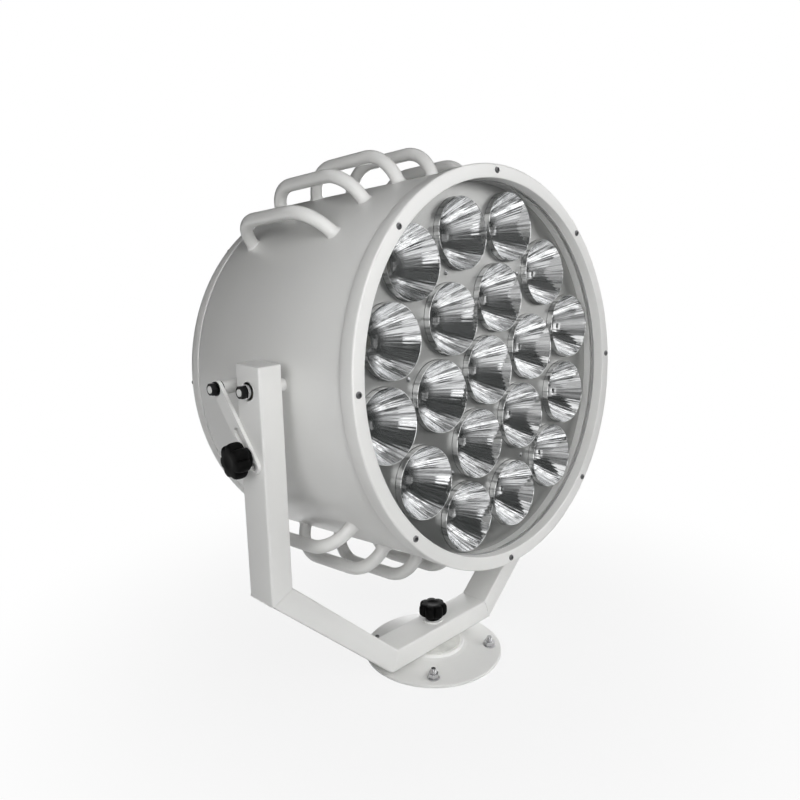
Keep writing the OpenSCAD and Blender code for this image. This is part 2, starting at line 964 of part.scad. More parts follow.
// Bent rod in the YZ plane of its children: two bends run into the drum and are cut to it
module loop() {
    rod_r = loop_rod_d / 2;
    bend_r = loop_rise + loop_lean;
    difference() {
        translate([0, 0, -loop_mid])
            union() {
                translate([0, drum_r + loop_rise, -loop_top / 2])
                    cylinder(r = rod_r, h = loop_top);
                for (end = [-1, 1])
                    translate([0, drum_r - loop_lean, end * loop_top / 2])
                        rotate([0, -90, 0])
                            rotate([0, 0, end > 0 ? 0 : 90])
                                rotate_extrude(angle = 90)
                                    translate([bend_r, 0])
                                        circle(r = rod_r);
            }
        translate([0, 0, -loop_mid - loop_top / 2 - 2 * bend_r])
            cylinder(r = drum_r, h = loop_top + 4 * bend_r);
    }
}

module loop_row(turn) {
    drum_frame()
        for (i = [-loops_each_side:loops_each_side])
            rotate([0, 0, turn + i * loop_pitch])
                loop();
}

module top_loops() {
    color(white)
        loop_row(0);
}

module bottom_loops() {
    color(white)
        loop_row(180);
}

base_flange();
pan_spindle();
pan_thrust_washer();
pan_lock_knob();
pan_knob_insert();
pan_knob_washer();
yoke_crossbar();
yoke_brace_left();
yoke_brace_right();
yoke_leg_left();
yoke_leg_right();
leg_caps();
pan_bush();
trunnion_bush_left();
trunnion_bush_right();
tilt_lock_stud();
tilt_lock_knob();
tilt_knob_insert();
tilt_lock_washer();
tilt_link();
drum_shell();
bezel_ring();
bezel_screws();
glass_gasket();
front_glass();
rear_cover();
rear_gasket();
rear_cover_screws();
reflector_plate();
reflector_centre();
reflectors_inner();
reflectors_outer();
led_modules();
heat_spreader();
heat_sink();
heat_sink_bolts();
driver_box();
plate_standoffs();
trunnion_boss_left();
trunnion_boss_right();
trunnion_stud_left();
trunnion_stud_right();
trunnion_washers();
trunnion_nuts();
link_post();
link_washers();
link_nut();
cable_gland();
gland_nut();
top_loops();
bottom_loops();
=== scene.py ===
"""Looks of the marine searchlight: meshes, finishes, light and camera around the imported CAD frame."""
import logging
import math
from dataclasses import dataclass, field
from enum import Enum
from typing import Iterable, Sequence

import bmesh
import bpy
import numpy as np
from mathutils import Matrix, Vector


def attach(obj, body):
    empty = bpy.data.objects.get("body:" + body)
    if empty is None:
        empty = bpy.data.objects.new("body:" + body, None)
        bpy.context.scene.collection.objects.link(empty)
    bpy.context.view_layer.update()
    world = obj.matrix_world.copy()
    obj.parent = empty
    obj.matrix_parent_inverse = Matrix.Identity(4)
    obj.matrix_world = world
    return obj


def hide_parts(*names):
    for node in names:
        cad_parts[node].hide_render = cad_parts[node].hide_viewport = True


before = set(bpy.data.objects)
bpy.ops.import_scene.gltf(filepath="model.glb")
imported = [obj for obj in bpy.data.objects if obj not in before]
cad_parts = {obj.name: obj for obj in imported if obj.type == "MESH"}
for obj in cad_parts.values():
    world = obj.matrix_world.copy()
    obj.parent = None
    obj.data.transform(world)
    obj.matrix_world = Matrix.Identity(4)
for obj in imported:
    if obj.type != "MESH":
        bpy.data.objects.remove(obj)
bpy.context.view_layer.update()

log = logging.getLogger("searchlight")
MM = 0.001
TAU = 2.0 * math.pi
# Share of a radius that stands for the axis of a turned shape
AXIS = 0.0002
Point2 = tuple[float, float]
Point3 = tuple[float, float, float]
Face = tuple[int, ...]
Socket = bpy.types.NodeSocket


class Outline(Enum):
    """Shape that a turned profile point takes around its axis."""

    ROUND = "round"
    HEX = "hex"
    STAR = "star"


class Body(Enum):
    """Bodies of the CAD frame that pieces ride on."""

    BASE = "base"
    YOKE = "yoke"
    LAMP = "lamp"
    PAN_KNOB = "pan_knob"
    TILT_KNOB = "tilt_knob"


class Nodes:
    """Adds nodes to a tree and feeds their inputs."""

    def __init__(self, tree: bpy.types.NodeTree) -> None:
        """Takes the tree that gets the nodes."""
        self.tree = tree

    def feed(self, target: Socket, value) -> None:
        """Links an input to a socket or sets a plain value on it.

        Args:
            target: The input.
            value: Socket or plain value.
        """
        if isinstance(value, Socket):
            self.tree.links.new(value, target)
        else:
            target.default_value = value

    def add(self, kind: str, feeds: dict | None = None, **settings) -> bpy.types.Node:
        """Adds a node.

        Args:
            kind: Node type.
            feeds: Sockets or values by the name or number of the input.
            settings: Properties of the node by name.

        Returns:
            The node.
        """
        node = self.tree.nodes.new(kind)
        for key, value in settings.items():
            setattr(node, key, value)
        for key, value in (feeds or {}).items():
            self.feed(node.inputs[key], value)
        return node

    def maths(self, operation: str, first, second=0.0) -> Socket:
        """Adds a Math node on two sockets or numbers and gives its result."""
        return self.add("ShaderNodeMath", {0: first, 1: second}, operation=operation).outputs[0]


class NodeSketch(Nodes):
    """Node tree of one material around its shader."""

    def __init__(self, name: str, shader: str = "ShaderNodeBsdfPrincipled") -> None:
        """Starts the material.

        Args:
            name: Name of the material.
            shader: Node type of its shader.
        """
        self.material = bpy.data.materials.new(name)
        self.material.use_nodes = True
        super().__init__(self.material.node_tree)
        self.tree.nodes.clear()
        self.shader = self.add(shader)
        self.output = self.add("ShaderNodeOutputMaterial", {"Surface": self.shader.outputs[0]})

    def set(self, **values) -> None:
        """Feeds the shader's inputs, by input name with _ for a space."""
        for key, value in values.items():
            self.feed(self.shader.inputs[key.replace("_", " ")], value)

    def coordinates(self, scale: Point3 = (1.0, 1.0, 1.0)) -> Socket:
        """Gives object coordinates, scaled on each axis."""
        where = self.add("ShaderNodeTexCoord").outputs["Object"]
        return self.add("ShaderNodeMapping", {"Vector": where, "Scale": scale}).outputs["Vector"]

    def noise(self, vector: Socket, scale: float, detail: float = 3.0) -> Socket:
        """Gives a noise texture's factor.

        Args:
            vector: Coordinates.
            scale: Scale of the noise.
            detail: Octaves.

        Returns:
            The factor socket.
        """
        feeds = {"Vector": vector, "Scale": scale, "Detail": detail, "Roughness": 0.5}
        return self.add("ShaderNodeTexNoise", feeds).outputs["Fac"]

    def ramp(self, factor: Socket, stops: Point2, dark: Point3, light: Point3) -> Socket:
        """Maps a factor to a colour between two stops.

        Args:
            factor: Input socket.
            stops: Positions of the dark and of the light stop.
            dark: Colour at the dark stop.
            light: Colour at the light stop.

        Returns:
            The colour socket.
        """
        node = self.add("ShaderNodeValToRGB", {"Fac": factor})
        for element, position, colour in zip(node.color_ramp.elements, stops, (dark, light)):
            element.position = position
            element.color = (*colour, 1.0)
        return node.outputs["Color"]

    def spread(self, factor: Socket, low: float, high: float) -> Socket:
        """Maps a 0 to 1 factor to the range from low to high."""
        feeds = {"Value": factor, "To Min": low, "To Max": high}
        return self.add("ShaderNodeMapRange", feeds).outputs["Result"]

    def bump(self, height: Socket, strength: float, distance: float) -> Socket:
        """Turns a height into a normal; the distance is the bump's height in metres."""
        feeds = {"Height": height, "Strength": strength, "Distance": distance}
        return self.add("ShaderNodeBump", feeds).outputs["Normal"]

    def stored(self, name: str, output: str = "Fac") -> Socket:
        """Gives an attribute that is stored in the mesh."""
        return self.add("ShaderNodeAttribute", attribute_name=name).outputs[output]

    def product(self, first: Socket, second: Socket) -> Socket:
        """Multiplies two colours."""
        return self.add("ShaderNodeVectorMath", {0: first, 1: second}, operation="MULTIPLY").outputs["Vector"]

    def along(self, name: str, scale: Point3, drift: float) -> Socket:
        """Gives a vector stored in the mesh, scaled, with a slow drift over the object.

        Args:
            name: Name of the stored attribute.
            scale: Scale on each axis of the stored vector.
            drift: Scale of the object coordinates that are added.

        Returns:
            The vector socket.
        """
        feeds = {0: self.stored(name, "Vector"), 1: scale, 2: self.coordinates((drift, drift, drift))}
        return self.add("ShaderNodeVectorMath", feeds, operation="MULTIPLY_ADD").outputs["Vector"]


def dimmed(tone: Point3, share: float) -> Point3:
    """Gives a tone times a share, at most white."""
    return tuple(min(1.0, share * value) for value in tone)


@dataclass(frozen=True)
class Finish:
    """What every finish has: its material's name and its slot in the record."""

    name: str
    slot: str

    def material(self) -> bpy.types.Material:
        """Builds the material."""
        raise NotImplementedError


@dataclass(frozen=True)
class Paint(Finish):
    """Sprayed enamel with a faint orange peel and small changes of tone."""

    tone: Point3 = (0.80, 0.80, 0.785)
    shade: float = 0.975
    rough: float = 0.35
    peel: float = 0.06
    patches: float = 9.0
    dimples: float = 160.0
    coat: float = 0.15

    def material(self) -> bpy.types.Material:
        """Builds the paint's material."""
        sketch = NodeSketch(self.name)
        where = sketch.coordinates()
        broad = sketch.noise(where, self.patches, 4.0)
        fine = sketch.noise(where, self.dimples, 2.0)
        sketch.set(Base_Color=sketch.ramp(broad, (0.35, 0.65), dimmed(self.tone, self.shade), self.tone),
                   Roughness=sketch.spread(broad, self.rough - 0.05, self.rough + 0.07),
                   Normal=sketch.bump(fine, self.peel, 0.0004),
                   Specular_IOR_Level=0.5, Coat_Weight=self.coat, Coat_Roughness=0.12)
        return sketch.material


@dataclass(frozen=True)
class Metal(Finish):
    """Bare or plated metal with fine brushing."""

    tone: Point3
    shade: float = 0.85
    rough: float = 0.25
    brush: Point3 = (200.0, 200.0, 200.0)
    grain: float = 0.05
    patches: float = 14.0

    def material(self) -> bpy.types.Material:
        """Builds the metal's material."""
        sketch = NodeSketch(self.name)
        grain = sketch.noise(sketch.coordinates(self.brush), 4.0)
        broad = sketch.noise(sketch.coordinates(), self.patches)
        sketch.set(Base_Color=sketch.ramp(broad, (0.3, 0.7), dimmed(self.tone, self.shade), self.tone),
                   Roughness=sketch.spread(grain, self.rough - 0.06, self.rough + 0.08),
                   Normal=sketch.bump(grain, self.grain, 0.0002), Metallic=1.0)
        return sketch.material


@dataclass(frozen=True)
class Mirror(Finish):
    """Vapour-plated reflector surface with streaks from the neck to the mouth, partly plating streaks and partly
    painted reflection, and a neck darkened with painted shade.
    """

    tone: Point3 = (0.96, 0.965, 0.97)
    # How dark the streaks go, and their scale: partly plating streaks, partly painted reflection.
    streak_and_reflection_dim: float = 0.4
    streaks: float = 9.0
    # Grey that the neck is darkened to, and the shares of the depth between which it fades out: painted shade at
    # the bottom of each cup.
    painted_neck_shade: float = 0.14
    neck: Point2 = (0.12, 0.27)
    rough: float = 0.03

    def material(self) -> bpy.types.Material:
        """Builds the mirror's material."""
        sketch = NodeSketch(self.name)
        streaks = sketch.noise(sketch.along("sweep", (self.streaks, self.streaks, 0.5), 8.0), 1.0)
        haze = sketch.noise(sketch.coordinates(), 60.0, 4.0)
        # Streaks painted into the mirror's colour, the darker ones down to a share of the tone: partly plating
        # streaks, partly painted reflection of a streaky surround.
        plated = sketch.ramp(streaks, (0.36, 0.5), dimmed(self.tone, self.streak_and_reflection_dim), self.tone)
        # Painted shade: the mirror's colour is darkened towards the neck, below the stops given for the neck.
        neck = sketch.ramp(sketch.stored("share"), self.neck, (self.painted_neck_shade,) * 3, (1.0, 1.0, 1.0))
        sketch.set(Base_Color=sketch.product(plated, neck),
                   Roughness=sketch.spread(haze, self.rough - 0.01, self.rough + 0.04),
                   Normal=sketch.bump(streaks, 0.06, 0.0004), Metallic=1.0)
        return sketch.material


@dataclass(frozen=True)
class Moulded(Finish):
    """Moulded plastic or rubber with a fine grain, or a matte plated surface."""

    tone: Point3
    rough: float = 0.45
    grain: float = 0.12
    specular: float = 0.4
    lift: float = 1.35

    def material(self) -> bpy.types.Material:
        """Builds the moulding's material."""
        sketch = NodeSketch(self.name)
        where = sketch.coordinates()
        fine = sketch.noise(where, 900.0, 2.0)
        broad = sketch.noise(where, 40.0)
        sketch.set(Base_Color=sketch.ramp(broad, (0.35, 0.7), self.tone, dimmed(self.tone, self.lift)),
                   Roughness=sketch.spread(broad, self.rough - 0.06, self.rough + 0.08),
                   Normal=sketch.bump(fine, self.grain, 0.0003), Specular_IOR_Level=self.specular)
        return sketch.material


@dataclass(frozen=True)
class ClearGlass(Finish):
    """Flat toughened glass that mostly lets light straight through."""

    tone: Point3 = (0.27, 0.29, 0.285)
    alpha: float = 0.07

    def material(self) -> bpy.types.Material:
        """Builds the glass's material."""
        sketch = NodeSketch(self.name)
        smear = sketch.noise(sketch.coordinates(), 7.0, 4.0)
        sketch.set(Roughness=sketch.spread(smear, 0.01, 0.05), Base_Color=(*self.tone, 1.0), Alpha=self.alpha,
                   Specular_IOR_Level=0.8, IOR=1.5)
        sketch.material.surface_render_method = "BLENDED"
        return sketch.material


@dataclass(frozen=True)
class Phosphor(Finish):
    """Phosphor dome of an unlit emitter, set almost black: painted shade at the bottom of the cups in place of the
    phosphor's own colour.
    """

    # Almost black tone: painted shade at the cups' necks.
    tone: Point3 = (0.06, 0.057, 0.044)
    shade: float = 0.8

    def material(self) -> bpy.types.Material:
        """Builds the phosphor's material."""
        sketch = NodeSketch(self.name)
        grain = sketch.noise(sketch.coordinates(), 500.0, 2.0)
        sketch.set(Base_Color=sketch.ramp(grain, (0.3, 0.7), dimmed(self.tone, self.shade), self.tone),
                   Roughness=sketch.spread(grain, 0.2, 0.4))
        return sketch.material


class Palette:
    """All finishes of the lamp, each made once."""

    WHITE = Paint("white_enamel", "white_paint")
    DRUM = Paint("drum_enamel", "drum_paint", rough=0.34, peel=0.05)
    KNOB = Moulded("black_moulding", "black_plastic", (0.003, 0.003, 0.003), rough=0.5, specular=0.06)
    SEAL = Moulded("grey_seal", "seal", (0.30, 0.30, 0.30), rough=0.7)
    NYLON = Moulded("natural_nylon", "nylon", (0.55, 0.55, 0.53), rough=0.5)
    BLACKENED = Metal("blackened_steel", "black_steel", (0.025, 0.025, 0.026), rough=0.38)
    STEEL = Metal("stainless_steel", "steel", (0.62, 0.62, 0.63), rough=0.18)
    ZINC = Moulded("zinc_plate", "steel", (0.70, 0.70, 0.69), rough=0.4, specular=0.8)
    SCREW = Metal("dull_screw_steel", "steel", (0.26, 0.26, 0.265), rough=0.4)
    BRASS = Metal("plain_brass", "brass", (0.60, 0.44, 0.19), rough=0.3)
    ALLOY = Metal("carrier_alloy", "alloy", (0.52, 0.52, 0.51), shade=0.92, rough=0.35,
                  brush=(30.0, 400.0, 400.0))
    CASE = Metal("driver_case", "driver", (0.38, 0.39, 0.40), rough=0.45)
    MIRROR = Mirror("reflector_mirror", "mirror")
    GLASS = ClearGlass("window_glass", "glass")
    LED = Phosphor("emitter_phosphor", "led")

    _made: dict[str, bpy.types.Material] = {}

    @classmethod
    def get(cls, finish: Finish) -> bpy.types.Material:
        """Gives a finish's material, made at the first call."""
        if finish.name not in cls._made:
            cls._made[finish.name] = finish.material()
        return cls._made[finish.name]


def fillet(points: Sequence[Point3], steps: int = 4) -> list[Point2]:
    """Rounds the corners of a closed 2-D outline.

    Args:
        points: Corners as (x, y, radius); a radius of 0 keeps the corner.
        steps: Segments in each rounded corner.

    Returns:
        The rounded outline.
    """
    out: list[Point2] = []
    count = len(points)
    for index, (x, y, radius) in enumerate(points):
        if radius <= 0:
            out.append((x, y))
            continue
        here = np.array((x, y))
        back = np.array(points[index - 1][:2]) - here
        ahead = np.array(points[(index + 1) % count][:2]) - here
        back_len, ahead_len = np.linalg.norm(back), np.linalg.norm(ahead)
        back, ahead = back / back_len, ahead / ahead_len
        half = 0.5 * math.acos(float(np.clip(back @ ahead, -1.0, 1.0)))
        reach = min(radius / math.tan(half), 0.48 * back_len, 0.48 * ahead_len)
        true_radius = reach * math.tan(half)
        middle = (back + ahead) / np.linalg.norm(back + ahead)
        centre = here + middle * (true_radius / math.sin(half))
        start, end = here + back * reach - centre, here + ahead * reach - centre
        angle = math.acos(float(np.clip(start @ end / (true_radius**2), -1.0, 1.0)))
        for step in range(steps + 1):
            share = step / steps
            arm = (math.sin((1 - share) * angle) * start + math.sin(share * angle) * end) / math.sin(angle)
            out.append((float(centre[0] + arm[0]), float(centre[1] + arm[1])))
    return out


def round_factor(outline: Outline, angle: float, depth: float, lobes: int = 7) -> float:
    """Gives the radius factor of an outline at an angle.

    Args:
        outline: Kind of outline.
        angle: Angle around the axis in radians.
        depth: Depth of the hollows between a star's lobes, as a share of the radius.
        lobes: Number of a star's lobes.

    Returns:
        The factor on the radius.
    """
    if outline is Outline.HEX:
        step = TAU / 6
        return 1.0 / math.cos((angle % step) - step / 2)
    if outline is Outline.STAR:
        half = math.pi / lobes
        lobe = 0.76 * math.sin(half)
        ring = 1.0 - lobe
        reach = [ring * math.cos(a) + math.sqrt(lobe**2 - (ring * math.sin(a)) ** 2)
                 for a in ((angle + half) % (2 * half) - half, half)]
        return 1.0 - depth * (1.0 - reach[0]) / (1.0 - reach[1])
    return 1.0


def grid(rows: int, columns: int, closed: bool = True) -> list[Face]:
    """Gives the faces between rows of points, each row a closed loop.

    Args:
        rows: Number of rows.
        columns: Points in each row.
        closed: Whether the last row joins the first.

    Returns:
        The faces as index tuples.
    """
    faces: list[Face] = []
    for row in range(rows if closed else rows - 1):
        here, there = row * columns, (row + 1) % rows * columns
        for step in range(columns):
            beside = (step + 1) % columns
            faces.append((here + step, here + beside, there + beside, there + step))
    return faces


class Shape:
    """Vertices and faces gathered for one mesh."""

    def __init__(self, points: Iterable[Sequence[float]] = (), faces: Iterable[Face] = ()) -> None:
        """Starts with points and the faces between them."""
        self.points: list[Point3] = [tuple(float(v) for v in point) for point in points]
        self.faces: list[Face] = list(faces)

    def join(self, other: "Shape") -> "Shape":
        """Adds another shape's points and faces to this one, and gives this one."""
        start = len(self.points)
        self.points.extend(other.points)
        self.faces.extend(tuple(start + i for i in face) for face in other.faces)
        return self

    def moved(self, matrix: Matrix) -> "Shape":
        """Gives a copy moved by a matrix."""
        return Shape([matrix @ Vector(point) for point in self.points], self.faces)

    def mesh(self, name: str, sharp_deg: float = 35.0) -> bpy.types.Mesh:
        """Makes a clean mesh with outward faces.

        Args:
            name: Name of the mesh.
            sharp_deg: Angle from which an edge shades sharp.

        Returns:
            The mesh.
        """
        mesh = bpy.data.meshes.new(name)
        mesh.from_pydata(self.points, [], self.faces)
        cleaned = bmesh.new()
        cleaned.from_mesh(mesh)
        bmesh.ops.remove_doubles(cleaned, verts=cleaned.verts, dist=1e-6)
        bmesh.ops.dissolve_degenerate(cleaned, edges=cleaned.edges, dist=1e-7)
        bmesh.ops.recalc_face_normals(cleaned, faces=cleaned.faces)
        cleaned.to_mesh(mesh)
        cleaned.free()
        shade(mesh, sharp_deg)
        return mesh


def shade(mesh: bpy.types.Mesh, sharp_deg: float) -> None:
    """Shades a mesh smooth, with sharp edges from an angle on."""
    mesh.shade_smooth()
    mesh.set_sharp_from_angle(angle=math.radians(sharp_deg))


def turned(profile: Sequence[Sequence], steps: int) -> Shape:
    """Turns a closed profile about Z.

    Args:
        profile: Points (radius, z) or (radius, z, Outline) or (radius, z, Outline, depth), in metres.
        steps: Segments around.

    Returns:
        The turned shape.
    """
    points: list[Point3] = []
    for radius, height, *shaped in profile:
        outline = shaped[0] if shaped else Outline.ROUND
        depth = shaped[1] if len(shaped) > 1 else 0.0
        for step in range(steps):
            angle = TAU * step / steps
            reach = radius * round_factor(outline, angle, depth)
            points.append((reach * math.cos(angle), reach * math.sin(angle), height))
    return Shape(points, grid(len(profile), steps))


def piece(name: str, mesh: bpy.types.Mesh, body: Body, finish: Finish, nodes: Sequence[str] = ()) -> None:
    """Makes a piece from a mesh, dresses it and hangs it on its body.

    Args:
        name: Name of the piece.
        mesh: Its mesh, already in place.
        body: Body that it rides on.
        finish: Finish whose material it takes.
        nodes: CAD nodes that it stands for.
    """
    obj = bpy.data.objects.new(name, mesh)
    bpy.context.scene.collection.objects.link(obj)
    obj.data.materials.clear()
    obj.data.materials.append(Palette.get(finish))
    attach(obj, body.value)
    if nodes:
        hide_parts(*nodes)
    log.info("piece %s: %d faces on %s", obj.name, len(obj.data.polygons), body.value)


def dress(finish: Finish, *names: str) -> None:
    """Gives CAD nodes a finish.

    Args:
        finish: The finish.
        names: Names of the nodes.
    """
    for name in names:
        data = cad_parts[name].data
        data.materials.clear()
        data.materials.append(Palette.get(finish))
        log.info("node %s: %s", name, finish.name)


class NodeTree(Nodes):
    """Geometry Nodes tree with named inputs that turns a seed mesh into a plain mesh."""

    def __init__(self, name: str) -> None:
        """Starts a tree with a geometry input and output."""
        super().__init__(bpy.data.node_groups.new(name, "GeometryNodeTree"))
        for way in ("INPUT", "OUTPUT"):
            self.tree.interface.new_socket("Geometry", in_out=way, socket_type="NodeSocketGeometry")
        self.source = self.add("NodeGroupInput")
        self.sink = self.add("NodeGroupOutput")
        self.identifiers: dict[str, str] = {}

    def input(self, name: str, kind: str) -> Socket:
        """Adds a named input.

        Args:
            name: Name of the input.
            kind: Socket type without its NodeSocket prefix.

        Returns:
            The input's socket inside the tree.
        """
        socket = self.tree.interface.new_socket(name, in_out="INPUT", socket_type="NodeSocket" + kind)
        self.identifiers[name] = socket.identifier
        return self.source.outputs[name]

    def fan(self, seed: Socket, count: Socket, first: Socket, pitch: Socket, radius: Socket | float,
            finish: Socket) -> None:
        """Copies a seed about Z, each copy turned with its place, and ends the tree in a plain mesh.

        Args:
            seed: Geometry to copy.
            count: Number of copies.
            first: Angle of the first copy.
            pitch: Angle from one copy to the next.
            radius: Radius on which the copies stand.
            finish: Material of the copies.
        """
        index = self.add("GeometryNodeInputIndex").outputs[0]
        angle = self.maths("ADD", self.maths("MULTIPLY", index, pitch), first)
        spot = self.add("ShaderNodeCombineXYZ", {
            "X": self.maths("MULTIPLY", radius, self.maths("COSINE", angle)),
            "Y": self.maths("MULTIPLY", radius, self.maths("SINE", angle))})
        turn = self.add("ShaderNodeCombineXYZ", {"Z": angle})
        line = self.add("GeometryNodeMeshLine", {"Count": count, "Offset": (0.0, 0.0, 0.0)})
        places = self.add("GeometryNodeSetPosition", {
            "Geometry": line.outputs["Mesh"], "Position": spot.outputs[0]})
        copies = self.add("GeometryNodeInstanceOnPoints", {
            "Points": places.outputs["Geometry"], "Instance": seed, "Rotation": turn.outputs[0]})
        real = self.add("GeometryNodeRealizeInstances", {"Geometry": copies.outputs["Instances"]})
        painted = self.add("GeometryNodeSetMaterial", {
            "Geometry": real.outputs["Geometry"], "Material": finish})
        self.feed(self.sink.inputs[0], painted.outputs["Geometry"])

    def run(self, seed: bpy.types.Mesh, values: dict[str, object]) -> bpy.types.Mesh:
        """Runs the tree on a seed mesh.

        Args:
            seed: Mesh that goes in.
            values: Values of the named inputs.

        Returns:
            The plain mesh that comes out.
        """
        carrier = bpy.data.objects.new("carrier", seed)
        bpy.context.scene.collection.objects.link(carrier)
        modifier = carrier.modifiers.new("nodes", "NODES")
        modifier.node_group = self.tree
        for name, value in values.items():
            modifier[self.identifiers[name]] = value
        bpy.context.view_layer.update()
        evaluated = carrier.evaluated_get(bpy.context.evaluated_depsgraph_get())
        mesh = bpy.data.meshes.new_from_object(evaluated)
        carrier.modifiers.clear()
        bpy.data.objects.remove(carrier)
        return mesh


class RingTree(NodeTree):
    """Copies a seed mesh around a circle."""

    def __init__(self) -> None:
        """Builds the tree."""
        super().__init__("ring_of_copies")
        count = self.input("Copies", "Int")
        radius = self.input("Ring Radius", "Float")
        first = self.input("Start Angle", "Float")
        finish = self.input("Finish", "Material")
        pitch = self.maths("DIVIDE", TAU, count)
        self.fan(self.source.outputs["Geometry"], count, first, pitch, radius, finish)

    def copies(self, seed: bpy.types.Mesh, count: int, radius: float, start_deg: float,
               finish: Finish) -> bpy.types.Mesh:
        """Makes a ring of copies about Z.

        Args:
            seed: Mesh to copy.
            count: Number of copies.
            radius: Radius of the ring in metres.
            start_deg: Angle of the first copy.
            finish: Finish of the copies.

        Returns:
            The mesh with all copies.
        """
        return self.run(seed, {"Copies": count, "Ring Radius": radius, "Start Angle": math.radians(start_deg),
                               "Finish": Palette.get(finish)})


class LoopTree(NodeTree):
    """Sweeps a round rod along a wire with a swell at its feet, and fans copies about Z."""

    def __init__(self) -> None:
        """Builds the tree."""
        super().__init__("fan_of_bent_rods")
        rod = self.input("Rod Radius", "Float")
        sides = self.input("Sides", "Int")
        count = self.input("Copies", "Int")
        first = self.input("First Angle", "Float")
        pitch = self.input("Pitch", "Float")
        finish = self.input("Finish", "Material")
        wire = self.add("GeometryNodeMeshToCurve", {"Mesh": self.source.outputs["Geometry"]})
        swell = self.add("GeometryNodeInputNamedAttribute", {"Name": "swell"}, data_type="FLOAT")
        size = self.add("GeometryNodeSetCurveRadius", {
            "Curve": wire.outputs["Curve"], "Radius": swell.outputs["Attribute"]})
        circle = self.add("GeometryNodeCurvePrimitiveCircle", {"Resolution": sides, "Radius": rod})
        sweep = self.add("GeometryNodeCurveToMesh", {
            "Curve": size.outputs["Curve"], "Profile Curve": circle.outputs["Curve"], "Fill Caps": True})
        if "Scale" in sweep.inputs:
            self.feed(sweep.inputs["Scale"], swell.outputs["Attribute"])
        self.fan(sweep.outputs["Mesh"], count, first, pitch, 0.0, finish)


@dataclass
class LampFrame:
    """Where the lamp stands: its axis frame has +Z forward and +Y up."""

    pivot_z: float = 423.5 * MM
    rest_tilt: float = 5.3
    pivot_rise: float = 15.0 * MM
    clock: float = 2.2

    def upright(self) -> Matrix:
        """Gives the axis frame without the drum's own turn."""
        tilt = Matrix.Rotation(math.radians(-self.rest_tilt), 4, "X")
        return (Matrix.Translation((0.0, 0.0, self.pivot_z)) @ tilt
                @ Matrix.Translation((0.0, 0.0, -self.pivot_rise)) @ Matrix.Rotation(math.radians(90.0), 4, "X"))

    def drum(self) -> Matrix:
        """Gives the axis frame turned with the drum."""
        return self.upright() @ Matrix.Rotation(math.radians(-self.clock), 4, "Z")


@dataclass
class Fasteners:
    """Turned shapes of screws and of M8 nuts, washers and studs, standing on z = 0."""

    steps: int = 48
    flats: float = 13.0 * MM
    nut_h: float = 6.5 * MM
    thread_r: float = 4.0 * MM
    thread_pitch: float = 1.25 * MM
    thread_steps: int = 32
    washer_r: float = 8.4 * MM
    washer_hole: float = 4.1 * MM
    washer_t: float = 1.6 * MM

    def socket_screw(self, head_r: float, head_h: float, socket_r: float) -> Shape:
        """Makes a button-head screw with a hexagon socket.

        Args:
            head_r: Radius of the head.
            head_h: Height of the head.
            socket_r: Half width of the socket across its flats.

        Returns:
            The screw's head.
        """
        profile = [(AXIS * head_r, 0.0), (head_r, 0.0), (head_r, 0.25 * head_h), (0.93 * head_r, 0.6 * head_h),
                   (0.78 * head_r, 0.88 * head_h), (0.62 * head_r, head_h), (1.12 * socket_r, head_h),
                   (socket_r, 0.93 * head_h, Outline.HEX), (socket_r, 0.2 * head_h, Outline.HEX),
                   (AXIS * head_r, 0.12 * head_h)]
        return turned(profile, self.steps)

    def nut(self) -> Shape:
        """Makes a chamfered hexagon nut."""
        half, height, bore = 0.5 * self.flats, self.nut_h, self.thread_r
        edge = 0.13 * height
        profile = [(bore, 0.0), (0.97 * half, 0.0), (half, edge, Outline.HEX), (half, height - edge, Outline.HEX),
                   (0.97 * half, height), (bore * 1.12, height), (bore, height - 0.1 * height)]
        return turned(profile, self.steps)

    def washer(self) -> Shape:
        """Makes a flat washer with a broken edge."""
        outer, hole, height = self.washer_r, self.washer_hole, self.washer_t
        rim = 0.2 * height
        return turned([(hole, 0.0), (outer - rim, 0.0), (outer, rim), (outer, height - rim), (outer - rim, height),
                       (hole, height)], self.steps)

    def stud(self, length: float) -> Shape:
        """Makes a stud with turned thread ridges and a chamfered tip.

        Args:
            length: Length of the stud.

        Returns:
            The stud.
        """
        radius, pitch = self.thread_r, self.thread_pitch
        profile: list[Point2] = [(AXIS * radius, 0.0)]
        ridges = int((length - pitch) / pitch)
        for ridge in range(ridges):
            base = ridge * pitch
            profile += [(0.86 * radius, base), (radius, base + 0.5 * pitch)]
        profile += [(0.86 * radius, ridges * pitch), (0.78 * radius, length), (AXIS * radius, length)]
        return turned(profile, self.thread_steps)


@dataclass
class DeckBase:
    """Round deck base with its bolts."""

    bolt_ring: float = 80.0 * MM
    bolt_count: int = 4
    bolt_angle: float = -47.0
    seat_z: float = 5.0 * MM
    stud_length: float = 19.0 * MM
    stud_below: float = 4.5 * MM
    ring: RingTree = field(default_factory=RingTree)
    fasteners: Fasteners = field(default_factory=Fasteners)

    def build(self) -> None:
        """Dresses the base and sets its bolts."""
        dress(Palette.WHITE, "base_flange")
        dress(Palette.STEEL, "pan_spindle")
        dress(Palette.ZINC, "pan_knob_washer")
        dress(Palette.NYLON, "pan_thrust_washer")
        dress(Palette.BRASS, "pan_bush", "pan_knob_insert")
        self.bolts()

    def bolts(self) -> None:
        """Makes the deck bolts: washer, nut and the stud's end."""
        bolt = self.fasteners.washer()
        bolt.join(self.fasteners.nut().moved(Matrix.Translation((0, 0, self.fasteners.washer_t))))
        bolt.join(self.fasteners.stud(self.stud_length).moved(Matrix.Translation((0, 0, -self.stud_below))))
        mesh = self.ring.copies(bolt.mesh("deck_bolt"), self.bolt_count, self.bolt_ring, self.bolt_angle,
                                Palette.STEEL)
        mesh.transform(Matrix.Translation((0, 0, self.seat_z)))
        shade(mesh, 30.0)
        piece("deck_bolts", mesh, Body.BASE, Palette.STEEL)


